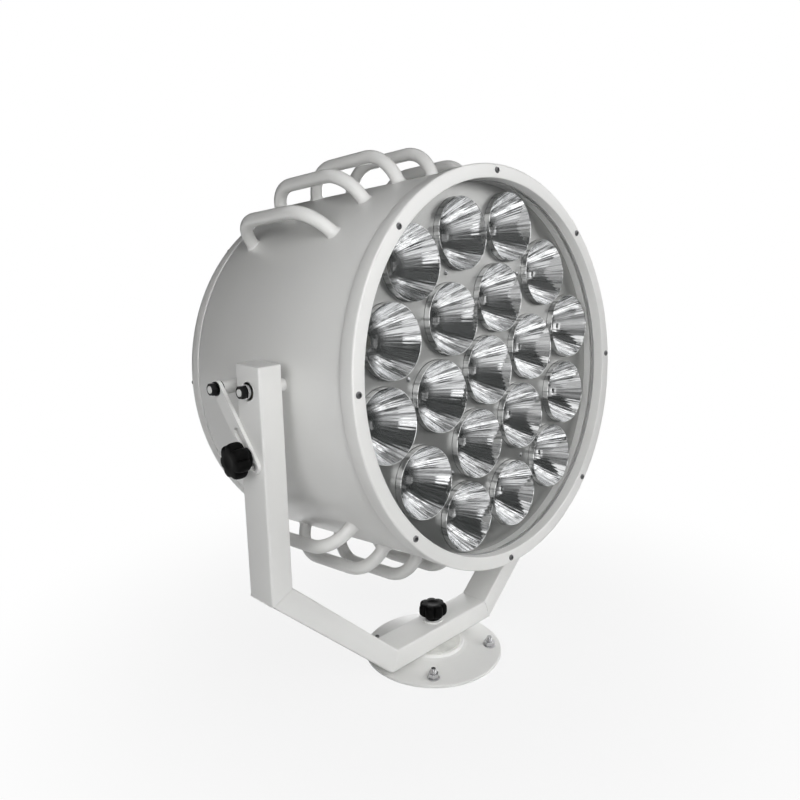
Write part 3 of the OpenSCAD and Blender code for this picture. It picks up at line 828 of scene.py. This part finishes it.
@dataclass
class Yoke:
    """Welded yoke of rectangular tube."""

    leg_x: float = 282.0 * MM
    tube_t: float = 29.0 * MM
    tube_w: float = 43.5 * MM
    corner_r: float = 2.6 * MM
    leg_top: float = 451.0 * MM
    cap_edge: float = 0.8 * MM
    knee_z: float = 183.0 * MM
    foot_x: float = 101.5 * MM
    foot_z: float = 17.0 * MM
    bead_r: float = 0.7 * MM
    bead_sides: int = 6

    def stations(self) -> list[tuple[Point2, Point2, float]]:
        """Gives the mitre planes from the left leg's top to the right leg's.

        Returns:
            Outside corner, inside corner and inset for each plane.
        """
        slope = math.atan2(self.knee_z - self.foot_z, self.leg_x - self.foot_x)
        knee = self.tube_t * math.tan((math.pi / 2 - slope) / 2)
        foot = self.tube_t * math.tan(slope / 2)
        inside, edge = self.leg_x - self.tube_t, self.cap_edge
        right = [((self.foot_x, self.foot_z), (self.foot_x - foot, self.foot_z + self.tube_t), 0.0),
                 ((self.leg_x, self.knee_z), (inside, self.knee_z + knee), 0.0),
                 ((self.leg_x, self.leg_top - edge), (inside, self.leg_top - edge), 0.0),
                 ((self.leg_x, self.leg_top), (inside, self.leg_top), edge)]
        left = [((-out[0], out[1]), (-inn[0], inn[1]), inset) for out, inn, inset in reversed(right)]
        return left + right

    def section(self, inset: float) -> list[Point2]:
        """Gives the tube's rounded outline as (share across, y), drawn in by an inset."""
        low, high, side = inset, self.tube_t - inset, self.tube_w / 2 - inset
        corners = [(u, v, self.corner_r) for u, v in ((low, -side), (high, -side), (high, side), (low, side))]
        return [(u / self.tube_t, v) for u, v in fillet(corners)]

    def loop(self, out: Point2, inn: Point2, inset: float) -> list[Point3]:
        """Gives one mitre plane's outline in the part's frame."""
        return [(out[0] + (inn[0] - out[0]) * u, v, out[1] + (inn[1] - out[1]) * u)
                for u, v in self.section(inset)]

    def build(self) -> None:
        """Makes the yoke and dresses its bearings."""
        loops = [self.loop(*station) for station in self.stations()]
        rows, count = len(loops), len(loops[0])
        faces = grid(rows, count, closed=False)
        faces += [tuple(range(count)), tuple((rows - 1) * count + i for i in reversed(range(count)))]
        shape = Shape([point for loop in loops for point in loop], faces)
        piece("yoke_frame", shape.mesh("yoke_frame", 25.0), Body.YOKE, Palette.WHITE,
              ("yoke_crossbar", "yoke_brace_left", "yoke_brace_right", "yoke_leg_left", "yoke_leg_right",
               "leg_caps"))
        beads = Shape()
        for loop in loops[2:6]:
            beads.join(self.bead(loop))
        piece("yoke_weld_beads", beads.mesh("yoke_weld_beads", 60.0), Body.YOKE, Palette.WHITE)
        dress(Palette.BRASS, "trunnion_bush_left", "trunnion_bush_right")
        dress(Palette.STEEL, "tilt_lock_stud")

    def bead(self, path: Sequence[Point3]) -> Shape:
        """Sweeps a dressed weld bead along a closed path.

        Args:
            path: Points of the path.

        Returns:
            The bead.
        """
        points: list[Vector] = []
        count = len(path)
        for i in range(count):
            here, before, after = (Vector(path[k % count]) for k in (i, i - 1, i + 1))
            along = (after - before).normalized()
            across = along.cross(Vector((0.37, 0.21, 0.9))).normalized()
            other = along.cross(across)
            for side in range(self.bead_sides):
                angle = TAU * side / self.bead_sides
                points.append(here + self.bead_r * (math.cos(angle) * across + 0.55 * math.sin(angle) * other))
        return Shape(points, grid(count, self.bead_sides))


@dataclass
class StarKnob:
    """Moulded star knob with rounded lobes."""

    diameter: float = 40.0 * MM
    height: float = 23.0 * MM
    collar_h: float = 6.0 * MM
    bore_r: float = 7.0 * MM
    bore_top: float = 8.0 * MM
    dimple: float = 0.4 * MM
    hollow: float = 0.235
    steps: int = 168

    def shape(self) -> Shape:
        """Makes the knob standing on its collar at z = 0."""
        radius, collar, top = self.diameter / 2, self.collar_h, self.height
        # Share of the radius, share of the head's height and share of the hollows' depth
        head = [(0.80, 0.0, 0.7), (0.89, 0.05, 0.9), (0.95, 0.13, 1.0), (0.99, 0.27, 1.0), (1.0, 0.4, 1.0),
                (1.0, 0.62, 1.0), (0.985, 0.76, 1.0), (0.94, 0.88, 0.9), (0.86, 0.95, 0.7), (0.72, 0.99, 0.35)]
        profile: list[tuple] = [(self.bore_r, 0.0), (0.50 * radius, 0.0), (0.53 * radius, 0.08 * collar),
                                (0.60 * radius, collar)]
        for share, rise, deep in head:
            profile.append((share * radius, collar + rise * (top - collar), Outline.STAR, self.hollow * deep))
        profile += [(0.5 * radius, top), (0.36 * radius, top), (0.30 * radius, top - self.dimple),
                    (AXIS * radius, top - self.dimple), (AXIS * radius, top - self.bore_top),
                    (self.bore_r, top - self.bore_top)]
        return turned(profile, self.steps)


@dataclass
class TiltLock:
    """Slotted link with its post, nuts and star knob on the left leg, and the pan lock's knob."""

    knob_x: float = 288.2 * MM
    knob_z: float = 352.5 * MM
    nut_x: float = 288.2 * MM
    post_back: float = 55.0 * MM
    post_up: float = 16.0 * MM
    pivot_up: float = 15.0 * MM
    trunnion_nut_x: float = 286.3 * MM
    pan_knob_z: float = 48.3 * MM
    lamp: LampFrame = field(default_factory=LampFrame)
    knob: StarKnob = field(default_factory=StarKnob)
    fasteners: Fasteners = field(default_factory=Fasteners)

    def build(self) -> None:
        """Makes the knobs and nuts and dresses the rest."""
        out = (Matrix.Translation((-self.knob_x, 0.0, self.knob_z))
               @ Matrix.Rotation(math.radians(-90.0), 4, "Y"))
        up = Matrix.Translation((0.0, 0.0, self.pan_knob_z))
        star = self.knob.shape()
        for name, seat, body, node in (("tilt_star_knob", out, Body.TILT_KNOB, "tilt_lock_knob"),
                                       ("pan_star_knob", up, Body.PAN_KNOB, "pan_lock_knob")):
            piece(name, star.moved(seat).mesh(name, 40.0), body, Palette.KNOB, (node,))
        dress(Palette.WHITE, "tilt_link", "link_post")
        dress(Palette.STEEL, "tilt_lock_washer")
        dress(Palette.BRASS, "tilt_knob_insert")
        dress(Palette.BLACKENED, "link_washers")
        dress(Palette.ZINC, "trunnion_stud_left", "trunnion_stud_right")
        dress(Palette.STEEL, "trunnion_washers")
        dress(Palette.WHITE, "trunnion_boss_left", "trunnion_boss_right")
        self.nuts()

    def nuts(self) -> None:
        """Makes the chamfered nuts of the link post and the trunnions."""
        nut = self.fasteners.nut()
        sideways = {side: Matrix.Rotation(math.radians(side * 90.0), 4, "Y") for side in (-1, 1)}
        upright = self.lamp.upright()
        seat = upright @ Matrix.Translation((-self.nut_x, self.post_up, -self.post_back)) @ sideways[-1]
        piece("link_lock_nut", nut.moved(seat).mesh("link_lock_nut", 25.0), Body.LAMP, Palette.BLACKENED,
              ("link_nut",))
        pair = Shape()
        for side, turn in sideways.items():
            seat = upright @ Matrix.Translation((side * self.trunnion_nut_x, self.pivot_up, 0.0)) @ turn
            pair.join(nut.moved(seat))
        piece("trunnion_lock_nuts", pair.mesh("trunnion_lock_nuts", 25.0), Body.LAMP, Palette.BLACKENED,
              ("trunnion_nuts",))


@dataclass
class LampHousing:
    """Drum, bezel, window and rear cover."""

    drum_r: float = 237.5 * MM
    wall: float = 3.0 * MM
    bezel_r: float = 240.0 * MM
    window_r: float = 223.6 * MM
    glass_r: float = 228.4 * MM
    front: float = 118.5 * MM
    drum_front: float = 98.5 * MM
    lip: float = 105.5 * MM
    drum_back: float = -178.0 * MM
    seam: float = -180.0 * MM
    rear: float = -199.0 * MM
    flange: float = 10.0 * MM
    axis_r: float = 0.2 * MM
    screw_ring: float = 232.6 * MM
    screws: int = 8
    steps: int = 256
    lamp: LampFrame = field(default_factory=LampFrame)
    ring: RingTree = field(default_factory=RingTree)
    fasteners: Fasteners = field(default_factory=Fasteners)

    def build(self) -> None:
        """Makes the housing's pieces."""
        self.drum()
        self.bezel()
        self.rear_cover()
        self.screw_rings()
        dress(Palette.SEAL, "glass_gasket", "rear_gasket")
        dress(Palette.GLASS, "front_glass")
        dress(Palette.BRASS, "cable_gland", "gland_nut")

    def lathe(self, name: str, corners: Sequence[Point3], node: str) -> None:
        """Turns a housing piece from rounded corners.

        Args:
            name: Name of the piece.
            corners: Profile corners (radius, z, rounding).
            node: CAD node that it stands for.
        """
        shape = turned(fillet(corners), self.steps).moved(self.lamp.drum())
        piece(name, shape.mesh(name, 40.0), Body.LAMP, Palette.DRUM, (node,))

    def drum(self) -> None:
        """Makes the rolled drum with its end rings."""
        edge = 0.8 * MM
        inner = self.drum_r - self.wall
        front_in, back_in = self.drum_front - self.flange, self.drum_back + self.flange
        self.lathe("drum_body", [
            (self.window_r, self.drum_front, 0), (self.drum_r, self.drum_front, edge),
            (self.drum_r, self.drum_back, edge), (self.window_r, self.drum_back, 0),
            (self.window_r, back_in, 0), (inner, back_in, 0), (inner, front_in, 0),
            (self.window_r, front_in, 0)], "drum_shell")

    def bezel(self) -> None:
        """Makes the bezel with soft outer edges."""
        self.lathe("bezel", [
            (self.window_r, self.lip, 0), (self.window_r, self.front, 1.0 * MM),
            (self.bezel_r, self.front, 2.2 * MM), (self.bezel_r, self.drum_front, 1.4 * MM),
            (self.glass_r, self.drum_front, 0), (self.glass_r, self.lip, 0)], "bezel_ring")

    def rear_cover(self) -> None:
        """Makes the dished rear cover."""
        inner = self.rear + self.wall
        self.lathe("rear_lid", [
            (self.axis_r, self.rear, 0), (self.drum_r, self.rear, 5.0 * MM), (self.drum_r, self.seam, 0.9 * MM),
            (self.window_r, self.seam, 0), (self.window_r, inner, 0), (self.axis_r, inner, 0)], "rear_cover")

    def screw_rings(self) -> None:
        """Makes the bezel's and the rear cover's screws."""
        head = self.fasteners.socket_screw(3.7 * MM, 1.85 * MM, 1.75 * MM)
        flip = Matrix.Rotation(math.pi, 4, "X")
        for name, height, turn, node in (("bezel_screw", self.front, Matrix.Identity(4), "bezel_screws"),
                                         ("rear_screw", self.rear, flip, "rear_cover_screws")):
            mesh = self.ring.copies(head.mesh(name), self.screws, self.screw_ring, 90.0, Palette.SCREW)
            mesh.transform(self.lamp.drum() @ Matrix.Translation((0.0, 0.0, height)) @ turn)
            shade(mesh, 30.0)
            piece(name + "_heads", mesh, Body.LAMP, Palette.SCREW, (node,))


@dataclass
class ReflectorArray:
    """Nineteen fluted mirror cups with collars on their carrier plate."""

    mouth_r: float = 42.0 * MM
    depth: float = 49.0 * MM
    neck_r: float = 11.0 * MM
    rim: float = 0.6 * MM
    rim_rise: float = 0.35 * MM
    wall: float = 0.8 * MM
    mouth_z: float = 97.5 * MM
    collar_z: float = 88.0 * MM
    collar_root: float = 0.945
    inner_ring: float = 90.0 * MM
    outer_ring: float = 179.0 * MM
    between_ring: float = 167.0 * MM
    turn: float = 16.3
    each_ring: int = 6
    flutes: int = 48
    flute_depth: float = 0.13 * MM
    flute_steps: int = 6
    rows: int = 16
    sharp_deg: float = 18.0
    lamp: LampFrame = field(default_factory=LampFrame)
    ring: RingTree = field(default_factory=RingTree)

    @property
    def neck_z(self) -> float:
        """Height of the neck."""
        return self.mouth_z - self.depth

    def inside(self, share: float) -> float:
        """Gives the cup's inside radius at a share of its depth from the neck."""
        return self.neck_r + (self.mouth_r - self.rim - self.neck_r) * share**0.62

    def fluting(self, share: float) -> float:
        """Gives the share of the flutes' depth, which is less at the neck and at the rim."""
        return min(1.0, 0.25 + share, 0.15 + 6.0 * (1.0 - share))

    def profile(self) -> list[Point3]:
        """Gives the cup's closed profile as (radius, height, fluting).

        Returns:
            The inside from neck to rim, the collar, and the outside back to the neck.
        """
        base = self.neck_z
        shares = [(row / self.rows) ** 1.5 for row in range(self.rows + 1)]
        inside = [(self.inside(s), base + self.depth * s, self.fluting(s)) for s in shares]
        collar_r = self.mouth_r - self.rim
        collar = [(self.mouth_r - 0.5 * self.rim, self.mouth_z + self.rim_rise, 0.0),
                  (self.mouth_r, self.mouth_z, 0.0), (self.mouth_r, self.collar_z, 0.0),
                  (collar_r, self.collar_z, 0.0), (collar_r, base + self.collar_root * self.depth, 0.0)]
        outside = [(self.inside(s) + self.wall, base + self.depth * s, 0.0)
                   for s in (0.9, 0.7, 0.4, 0.15, 0.04, 0.0)]
        return inside + collar + outside

    def cup(self) -> Shape:
        """Makes one cup standing on its neck, with the mouth at the front."""
        columns = self.flutes * self.flute_steps
        mean_wave = 0.64
        profile = self.profile()
        points: list[Point3] = []
        for radius, height, fluting in profile:
            for column in range(columns):
                angle = TAU * column / columns
                wave = abs(math.cos(0.5 * self.flutes * angle)) - mean_wave
                reach = radius + fluting * self.flute_depth * wave
                points.append((reach * math.cos(angle), reach * math.sin(angle), height))
        return Shape(points, grid(len(profile), columns))

    def store(self, mesh: bpy.types.Mesh) -> None:
        """Stores what the finish needs: each point's share of the depth, and its direction and height.

        Args:
            mesh: Mesh of one cup.
        """
        shares: list[float] = []
        sweeps: list[float] = []
        for vertex in mesh.vertices:
            x, y, z = vertex.co
            reach = math.hypot(x, y)
            shares.append((z - self.neck_z) / self.depth)
            sweeps += (x / reach, y / reach, z / self.depth)
        mesh.attributes.new("share", "FLOAT", "POINT").data.foreach_set("value", shares)
        mesh.attributes.new("sweep", "FLOAT_VECTOR", "POINT").data.foreach_set("vector", sweeps)

    def build(self) -> None:
        """Makes the cups and dresses what stands around them."""
        start = 90.0 - self.turn
        seed = self.cup().mesh("cup", self.sharp_deg)
        self.store(seed)
        alone = seed.copy()
        alone.transform(self.lamp.drum())
        piece("cup_centre", alone, Body.LAMP, Palette.MIRROR, ("reflector_centre",))
        self.row("cups_inner", seed, [(self.inner_ring, start)], "reflectors_inner")
        self.row("cups_outer", seed, [(self.outer_ring, start), (self.between_ring, start - 30.0)],
                 "reflectors_outer")
        dress(Palette.ALLOY, "reflector_plate", "heat_spreader", "heat_sink")
        dress(Palette.STEEL, "plate_standoffs", "heat_sink_bolts")
        dress(Palette.CASE, "driver_box")
        dress(Palette.LED, "led_modules")

    def row(self, name: str, seed: bpy.types.Mesh, rings: Sequence[Point2], node: str) -> None:
        """Makes a piece of one or more rings of cups.

        Args:
            name: Name of the piece.
            seed: Mesh of one cup.
            rings: Ring radius and start angle of each ring.
            node: CAD node that it stands for.
        """
        joined = bmesh.new()
        for radius, start in rings:
            joined.from_mesh(self.ring.copies(seed.copy(), self.each_ring, radius, start, Palette.MIRROR))
        result = bpy.data.meshes.new(name)
        joined.to_mesh(result)
        joined.free()
        result.transform(self.lamp.drum())
        shade(result, self.sharp_deg)
        piece(name, result, Body.LAMP, Palette.MIRROR, (node,))


@dataclass
class RodLoops:
    """Bent-rod loops on the top and the bottom of the drum."""

    drum_r: float = 237.5 * MM
    rod_r: float = 8.0 * MM
    rise: float = 36.5 * MM
    top: float = 66.0 * MM
    lean: float = 9.5 * MM
    middle: float = 60.0 * MM
    pitch: float = 15.0
    each_side: int = 3
    sunk: float = 1.6 * MM
    bead: float = 5.0 * MM
    bead_swell: float = 0.34
    bend_steps: int = 24
    sides: int = 28
    lamp: LampFrame = field(default_factory=LampFrame)
    tree: LoopTree = field(default_factory=LoopTree)

    def wire(self) -> bpy.types.Mesh:
        """Makes one loop's middle line in the YZ plane, with the swell of the rod at each point."""
        bend = self.rise + self.lean
        foot_angle = math.asin((self.lean - self.sunk) / bend)
        half: list[Point3] = []
        for step in range(self.bend_steps + 1):
            angle = foot_angle + (math.pi / 2 - foot_angle) * (step / self.bend_steps) ** 1.4
            height = bend * math.sin(angle) - self.lean
            share = max(0.0, 1.0 - (height + self.sunk) / self.bead)
            half.append((self.drum_r + height, self.top / 2 + bend * math.cos(angle),
                         1.0 + self.bead_swell * share**2))
        points = [(r, -z, s) for r, z, s in half] + [(r, z, s) for r, z, s in reversed(half)]
        mesh = bpy.data.meshes.new("loop_wire")
        mesh.from_pydata([(0.0, r, z - self.middle) for r, z, _ in points],
                         [(i, i + 1) for i in range(len(points) - 1)], [])
        mesh.attributes.new("swell", "FLOAT", "POINT").data.foreach_set("value", [s for _, _, s in points])
        return mesh

    def build(self) -> None:
        """Makes the top and the bottom row."""
        for name, turn, node in (("loops_top", 0.0, "top_loops"), ("loops_bottom", 180.0, "bottom_loops")):
            mesh = self.tree.run(self.wire(), {
                "Rod Radius": self.rod_r, "Sides": self.sides, "Copies": 2 * self.each_side + 1,
                "First Angle": math.radians(turn - self.each_side * self.pitch),
                "Pitch": math.radians(self.pitch), "Finish": Palette.get(Palette.DRUM)})
            mesh.transform(self.lamp.drum())
            shade(mesh, 50.0)
            piece(name, mesh, Body.LAMP, Palette.DRUM, (node,))


@dataclass(frozen=True)
class Board:
    """Grey studio board as a band around the lamp, seen only in reflections.

    Angles are degrees about Z; near and far give the radius and height of the two edges, tones their greys.
    """

    name: str
    angles: Point2
    near: Point2
    far: Point2
    tones: Point2


@dataclass(frozen=True)
class SoftBox:
    """Soft area light; mirrored says whether bright surfaces show it, beam is in degrees."""

    name: str
    place: Point3
    aim: Point3
    size: Point2
    power: float
    mirrored: bool = True
    beam: float = 180.0


LAMP_MIDDLE = (0.0, 0.0, 0.4)
BOARDS = (
    Board("left_floor_board", (180.0, 227.0), (0.42, 0.004), (6.0, 0.004), (0.5, 0.6)),
    Board("front_floor_board", (227.0, 306.0), (0.42, 0.004), (5.0, 0.004), (0.03, 0.08)),
    Board("right_floor_board", (306.0, 319.0), (0.42, 0.004), (6.0, 0.004), (0.01, 0.12)),
    Board("far_right_floor_board", (319.0, 350.0), (0.42, 0.004), (6.0, 0.004), (0.05, 0.5)),
    Board("rear_board", (12.0, 164.0), (4.0, -0.2), (4.0, 4.5), (0.03, 0.06)),
    Board("left_board", (165.0, 208.0), (4.0, 0.2), (4.0, 4.5), (0.5, 0.12)),
    Board("bright_board", (213.0, 246.0), (5.0, 0.2), (5.0, 4.3), (1.8, 1.8)),
    Board("high_board", (236.0, 262.0), (3.0, 2.5), (3.0, 3.9), (0.12, 0.05)),
    Board("middle_board", (246.0, 268.0), (5.5, 0.0), (5.5, 5.0), (0.35, 0.45)),
    Board("front_board", (268.0, 306.0), (6.0, 0.0), (6.0, 4.0), (0.1, 0.6)),
    Board("right_board", (306.0, 319.0), (6.0, 0.1), (6.0, 3.2), (0.7, 2.4)),
    Board("far_right_board", (319.0, 350.0), (6.0, 0.1), (6.0, 2.4), (0.8, 3.0)),
    Board("left_post", (211.0, 215.0), (4.0, -0.2), (4.0, 2.2), (0.03, 0.05)),
    Board("middle_post", (221.5, 224.0), (4.0, -0.2), (4.0, 2.2), (0.03, 0.05)),
    Board("right_post", (231.0, 233.0), (4.0, -0.2), (4.0, 3.2), (0.03, 0.05)),
)
SOFT_BOXES = (
    SoftBox("key_box", (-0.55, -1.05, 0.85), LAMP_MIDDLE, (0.6, 0.6), 8.4, False),
    SoftBox("side_box", (-1.2, -0.45, 0.8), LAMP_MIDDLE, (0.6, 0.6), 4.6, False),
    SoftBox("right_box", (1.6, -1.8, 1.2), LAMP_MIDDLE, (1.2, 1.4), 14.0, False),
    SoftBox("top_box", (0.2, 0.0, 2.6), LAMP_MIDDLE, (1.8, 1.8), 0.6),
    SoftBox("base_box", (0.45, -0.9, 0.36), (0.02, -0.03, 0.02), (0.3, 0.2), 0.13, False, 40.0),
    SoftBox("rear_box", (1.9, 1.7, 0.5), LAMP_MIDDLE, (1.0, 0.5), 15.0),
)


@dataclass
class Studio:
    """Floor, light and camera."""

    position: Point3 = (-0.7088, -0.6571, 0.5885)
    azimuth: float = -44.72
    elevation: float = 12.99
    roll: float = -0.98
    lens: float = 33.73
    floor_half: float = 30.0
    floor_z: float = -0.5 * MM
    floor_grey: float = 0.55
    floor_glow: float = 0.86
    floor_fade: Point2 = (0.15, 0.75)
    fill: float = 0.02
    board_steps: int = 24

    def camera(self) -> None:
        """Sets the camera at the photograph's place."""
        turn, rise, roll = (math.radians(v) for v in (self.azimuth, self.elevation, self.roll))
        back = Vector((math.sin(turn) * math.cos(rise), -math.cos(turn) * math.cos(rise), math.sin(rise)))
        right = Vector((math.cos(turn), math.sin(turn), 0.0))
        above = back.cross(right)
        across = right * math.cos(roll) + above * math.sin(roll)
        upward = above * math.cos(roll) - right * math.sin(roll)
        data = bpy.data.cameras.new("photo_camera")
        data.lens = self.lens
        data.sensor_width = 36.0
        data.clip_end = 100.0
        camera = bpy.data.objects.new("photo_camera", data)
        basis = Matrix((across, upward, back)).transposed().to_4x4()
        camera.matrix_world = Matrix.Translation(self.position) @ basis
        bpy.context.scene.collection.objects.link(camera)
        bpy.context.scene.camera = camera

    def seen_rays(self, nodes: Nodes) -> Socket:
        """Gives a socket that is 1 for camera, glossy and transmission rays.

        Args:
            nodes: Tree that gets the nodes.

        Returns:
            The socket.
        """
        path = nodes.add("ShaderNodeLightPath").outputs
        clear = nodes.maths("MAXIMUM", path["Is Glossy Ray"], path["Is Transmission Ray"])
        return nodes.maths("MAXIMUM", path["Is Camera Ray"], clear)

    def floor(self) -> None:
        """Lays a plain pale floor that turns into the white surround away from the lamp."""
        mesh = bpy.data.meshes.new("floor")
        size = self.floor_half
        mesh.from_pydata([(-size, -size, 0), (size, -size, 0), (size, size, 0), (-size, size, 0)], [],
                         [(0, 1, 2, 3)])
        floor = bpy.data.objects.new("floor", mesh)
        floor.location.z = self.floor_z
        sketch = NodeSketch("pale_floor")
        sketch.set(Base_Color=(*(self.floor_grey,) * 3, 1.0), Roughness=0.9, Specular_IOR_Level=0.1)
        away = sketch.add("ShaderNodeVectorMath", {0: sketch.coordinates()}, operation="LENGTH")
        fade = sketch.add("ShaderNodeMapRange", {
            "Value": away.outputs["Value"], "From Min": self.floor_fade[0], "From Max": self.floor_fade[1],
            "To Min": self.floor_glow}, interpolation_type="SMOOTHSTEP")
        share = sketch.maths("MULTIPLY", self.seen_rays(sketch), fade.outputs["Result"])
        glow = sketch.add("ShaderNodeEmission")
        blend = sketch.add("ShaderNodeMixShader", {
            "Fac": share, 1: sketch.shader.outputs["BSDF"], 2: glow.outputs["Emission"]})
        sketch.feed(sketch.output.inputs["Surface"], blend.outputs["Shader"])
        mesh.materials.append(sketch.material)
        bpy.context.scene.collection.objects.link(floor)

    def world(self) -> None:
        """Sets a white surround for what is seen and a softer fill for what is lit."""
        world = bpy.data.worlds.new("surround")
        bpy.context.scene.world = world
        world.use_nodes = True
        nodes = Nodes(world.node_tree)
        level = nodes.add("ShaderNodeMapRange", {
            "Value": self.seen_rays(nodes), "To Min": self.fill, "To Max": 1.0})
        back = world.node_tree.nodes["Background"]
        nodes.feed(back.inputs["Color"], (1.0, 1.0, 1.0, 1.0))
        nodes.feed(back.inputs["Strength"], level.outputs["Result"])

    def hang(self, box: SoftBox) -> None:
        """Hangs a soft box.

        Args:
            box: The soft box.
        """
        data = bpy.data.lights.new(box.name, "AREA")
        data.shape = "RECTANGLE"
        data.size, data.size_y = box.size
        data.energy = box.power
        data.spread = math.radians(box.beam)
        light = bpy.data.objects.new(box.name, data)
        direction = Vector(box.aim) - Vector(box.place)
        turn = direction.to_track_quat("-Z", "Y").to_matrix().to_4x4()
        light.matrix_world = Matrix.Translation(box.place) @ turn
        light.visible_glossy = box.mirrored
        bpy.context.scene.collection.objects.link(light)

    def put_up(self, plan: Board) -> None:
        """Puts up a studio board.

        Args:
            plan: The board.
        """
        steps = self.board_steps
        points: list[Point3] = []
        for step in range(steps + 1):
            angle = math.radians(plan.angles[0] + (plan.angles[1] - plan.angles[0]) * step / steps)
            points += [(radius * math.cos(angle), radius * math.sin(angle), height)
                       for radius, height in (plan.near, plan.far)]
        mesh = bpy.data.meshes.new(plan.name)
        mesh.from_pydata(points, [], [(2 * i, 2 * i + 2, 2 * i + 3, 2 * i + 1) for i in range(steps)])
        mesh.attributes.new("tone", "FLOAT", "POINT").data.foreach_set("value", list(plan.tones) * (steps + 1))
        board = bpy.data.objects.new(plan.name, mesh)
        sketch = NodeSketch(plan.name, "ShaderNodeEmission")
        sketch.set(Strength=sketch.stored("tone"))
        mesh.materials.append(sketch.material)
        board.visible_camera = False
        board.visible_shadow = False
        board.visible_diffuse = False
        bpy.context.scene.collection.objects.link(board)

    def build(self) -> None:
        """Sets the whole studio."""
        bpy.context.scene.view_settings.view_transform = "Standard"
        self.camera()
        self.floor()
        self.world()
        for board in BOARDS:
            self.put_up(board)
        for box in SOFT_BOXES:
            self.hang(box)


def main() -> None:
    """Builds the studio and the lamp's pieces in order."""
    logging.basicConfig(level=logging.INFO, format="%(name)s: %(message)s")
    Studio().build()
    for part in (DeckBase(), Yoke(), TiltLock(), LampHousing(), ReflectorArray(), RodLoops()):
        log.info("building %s", type(part).__name__)
        part.build()
    bpy.context.view_layer.update()


if __name__ == "__main__":
    main()
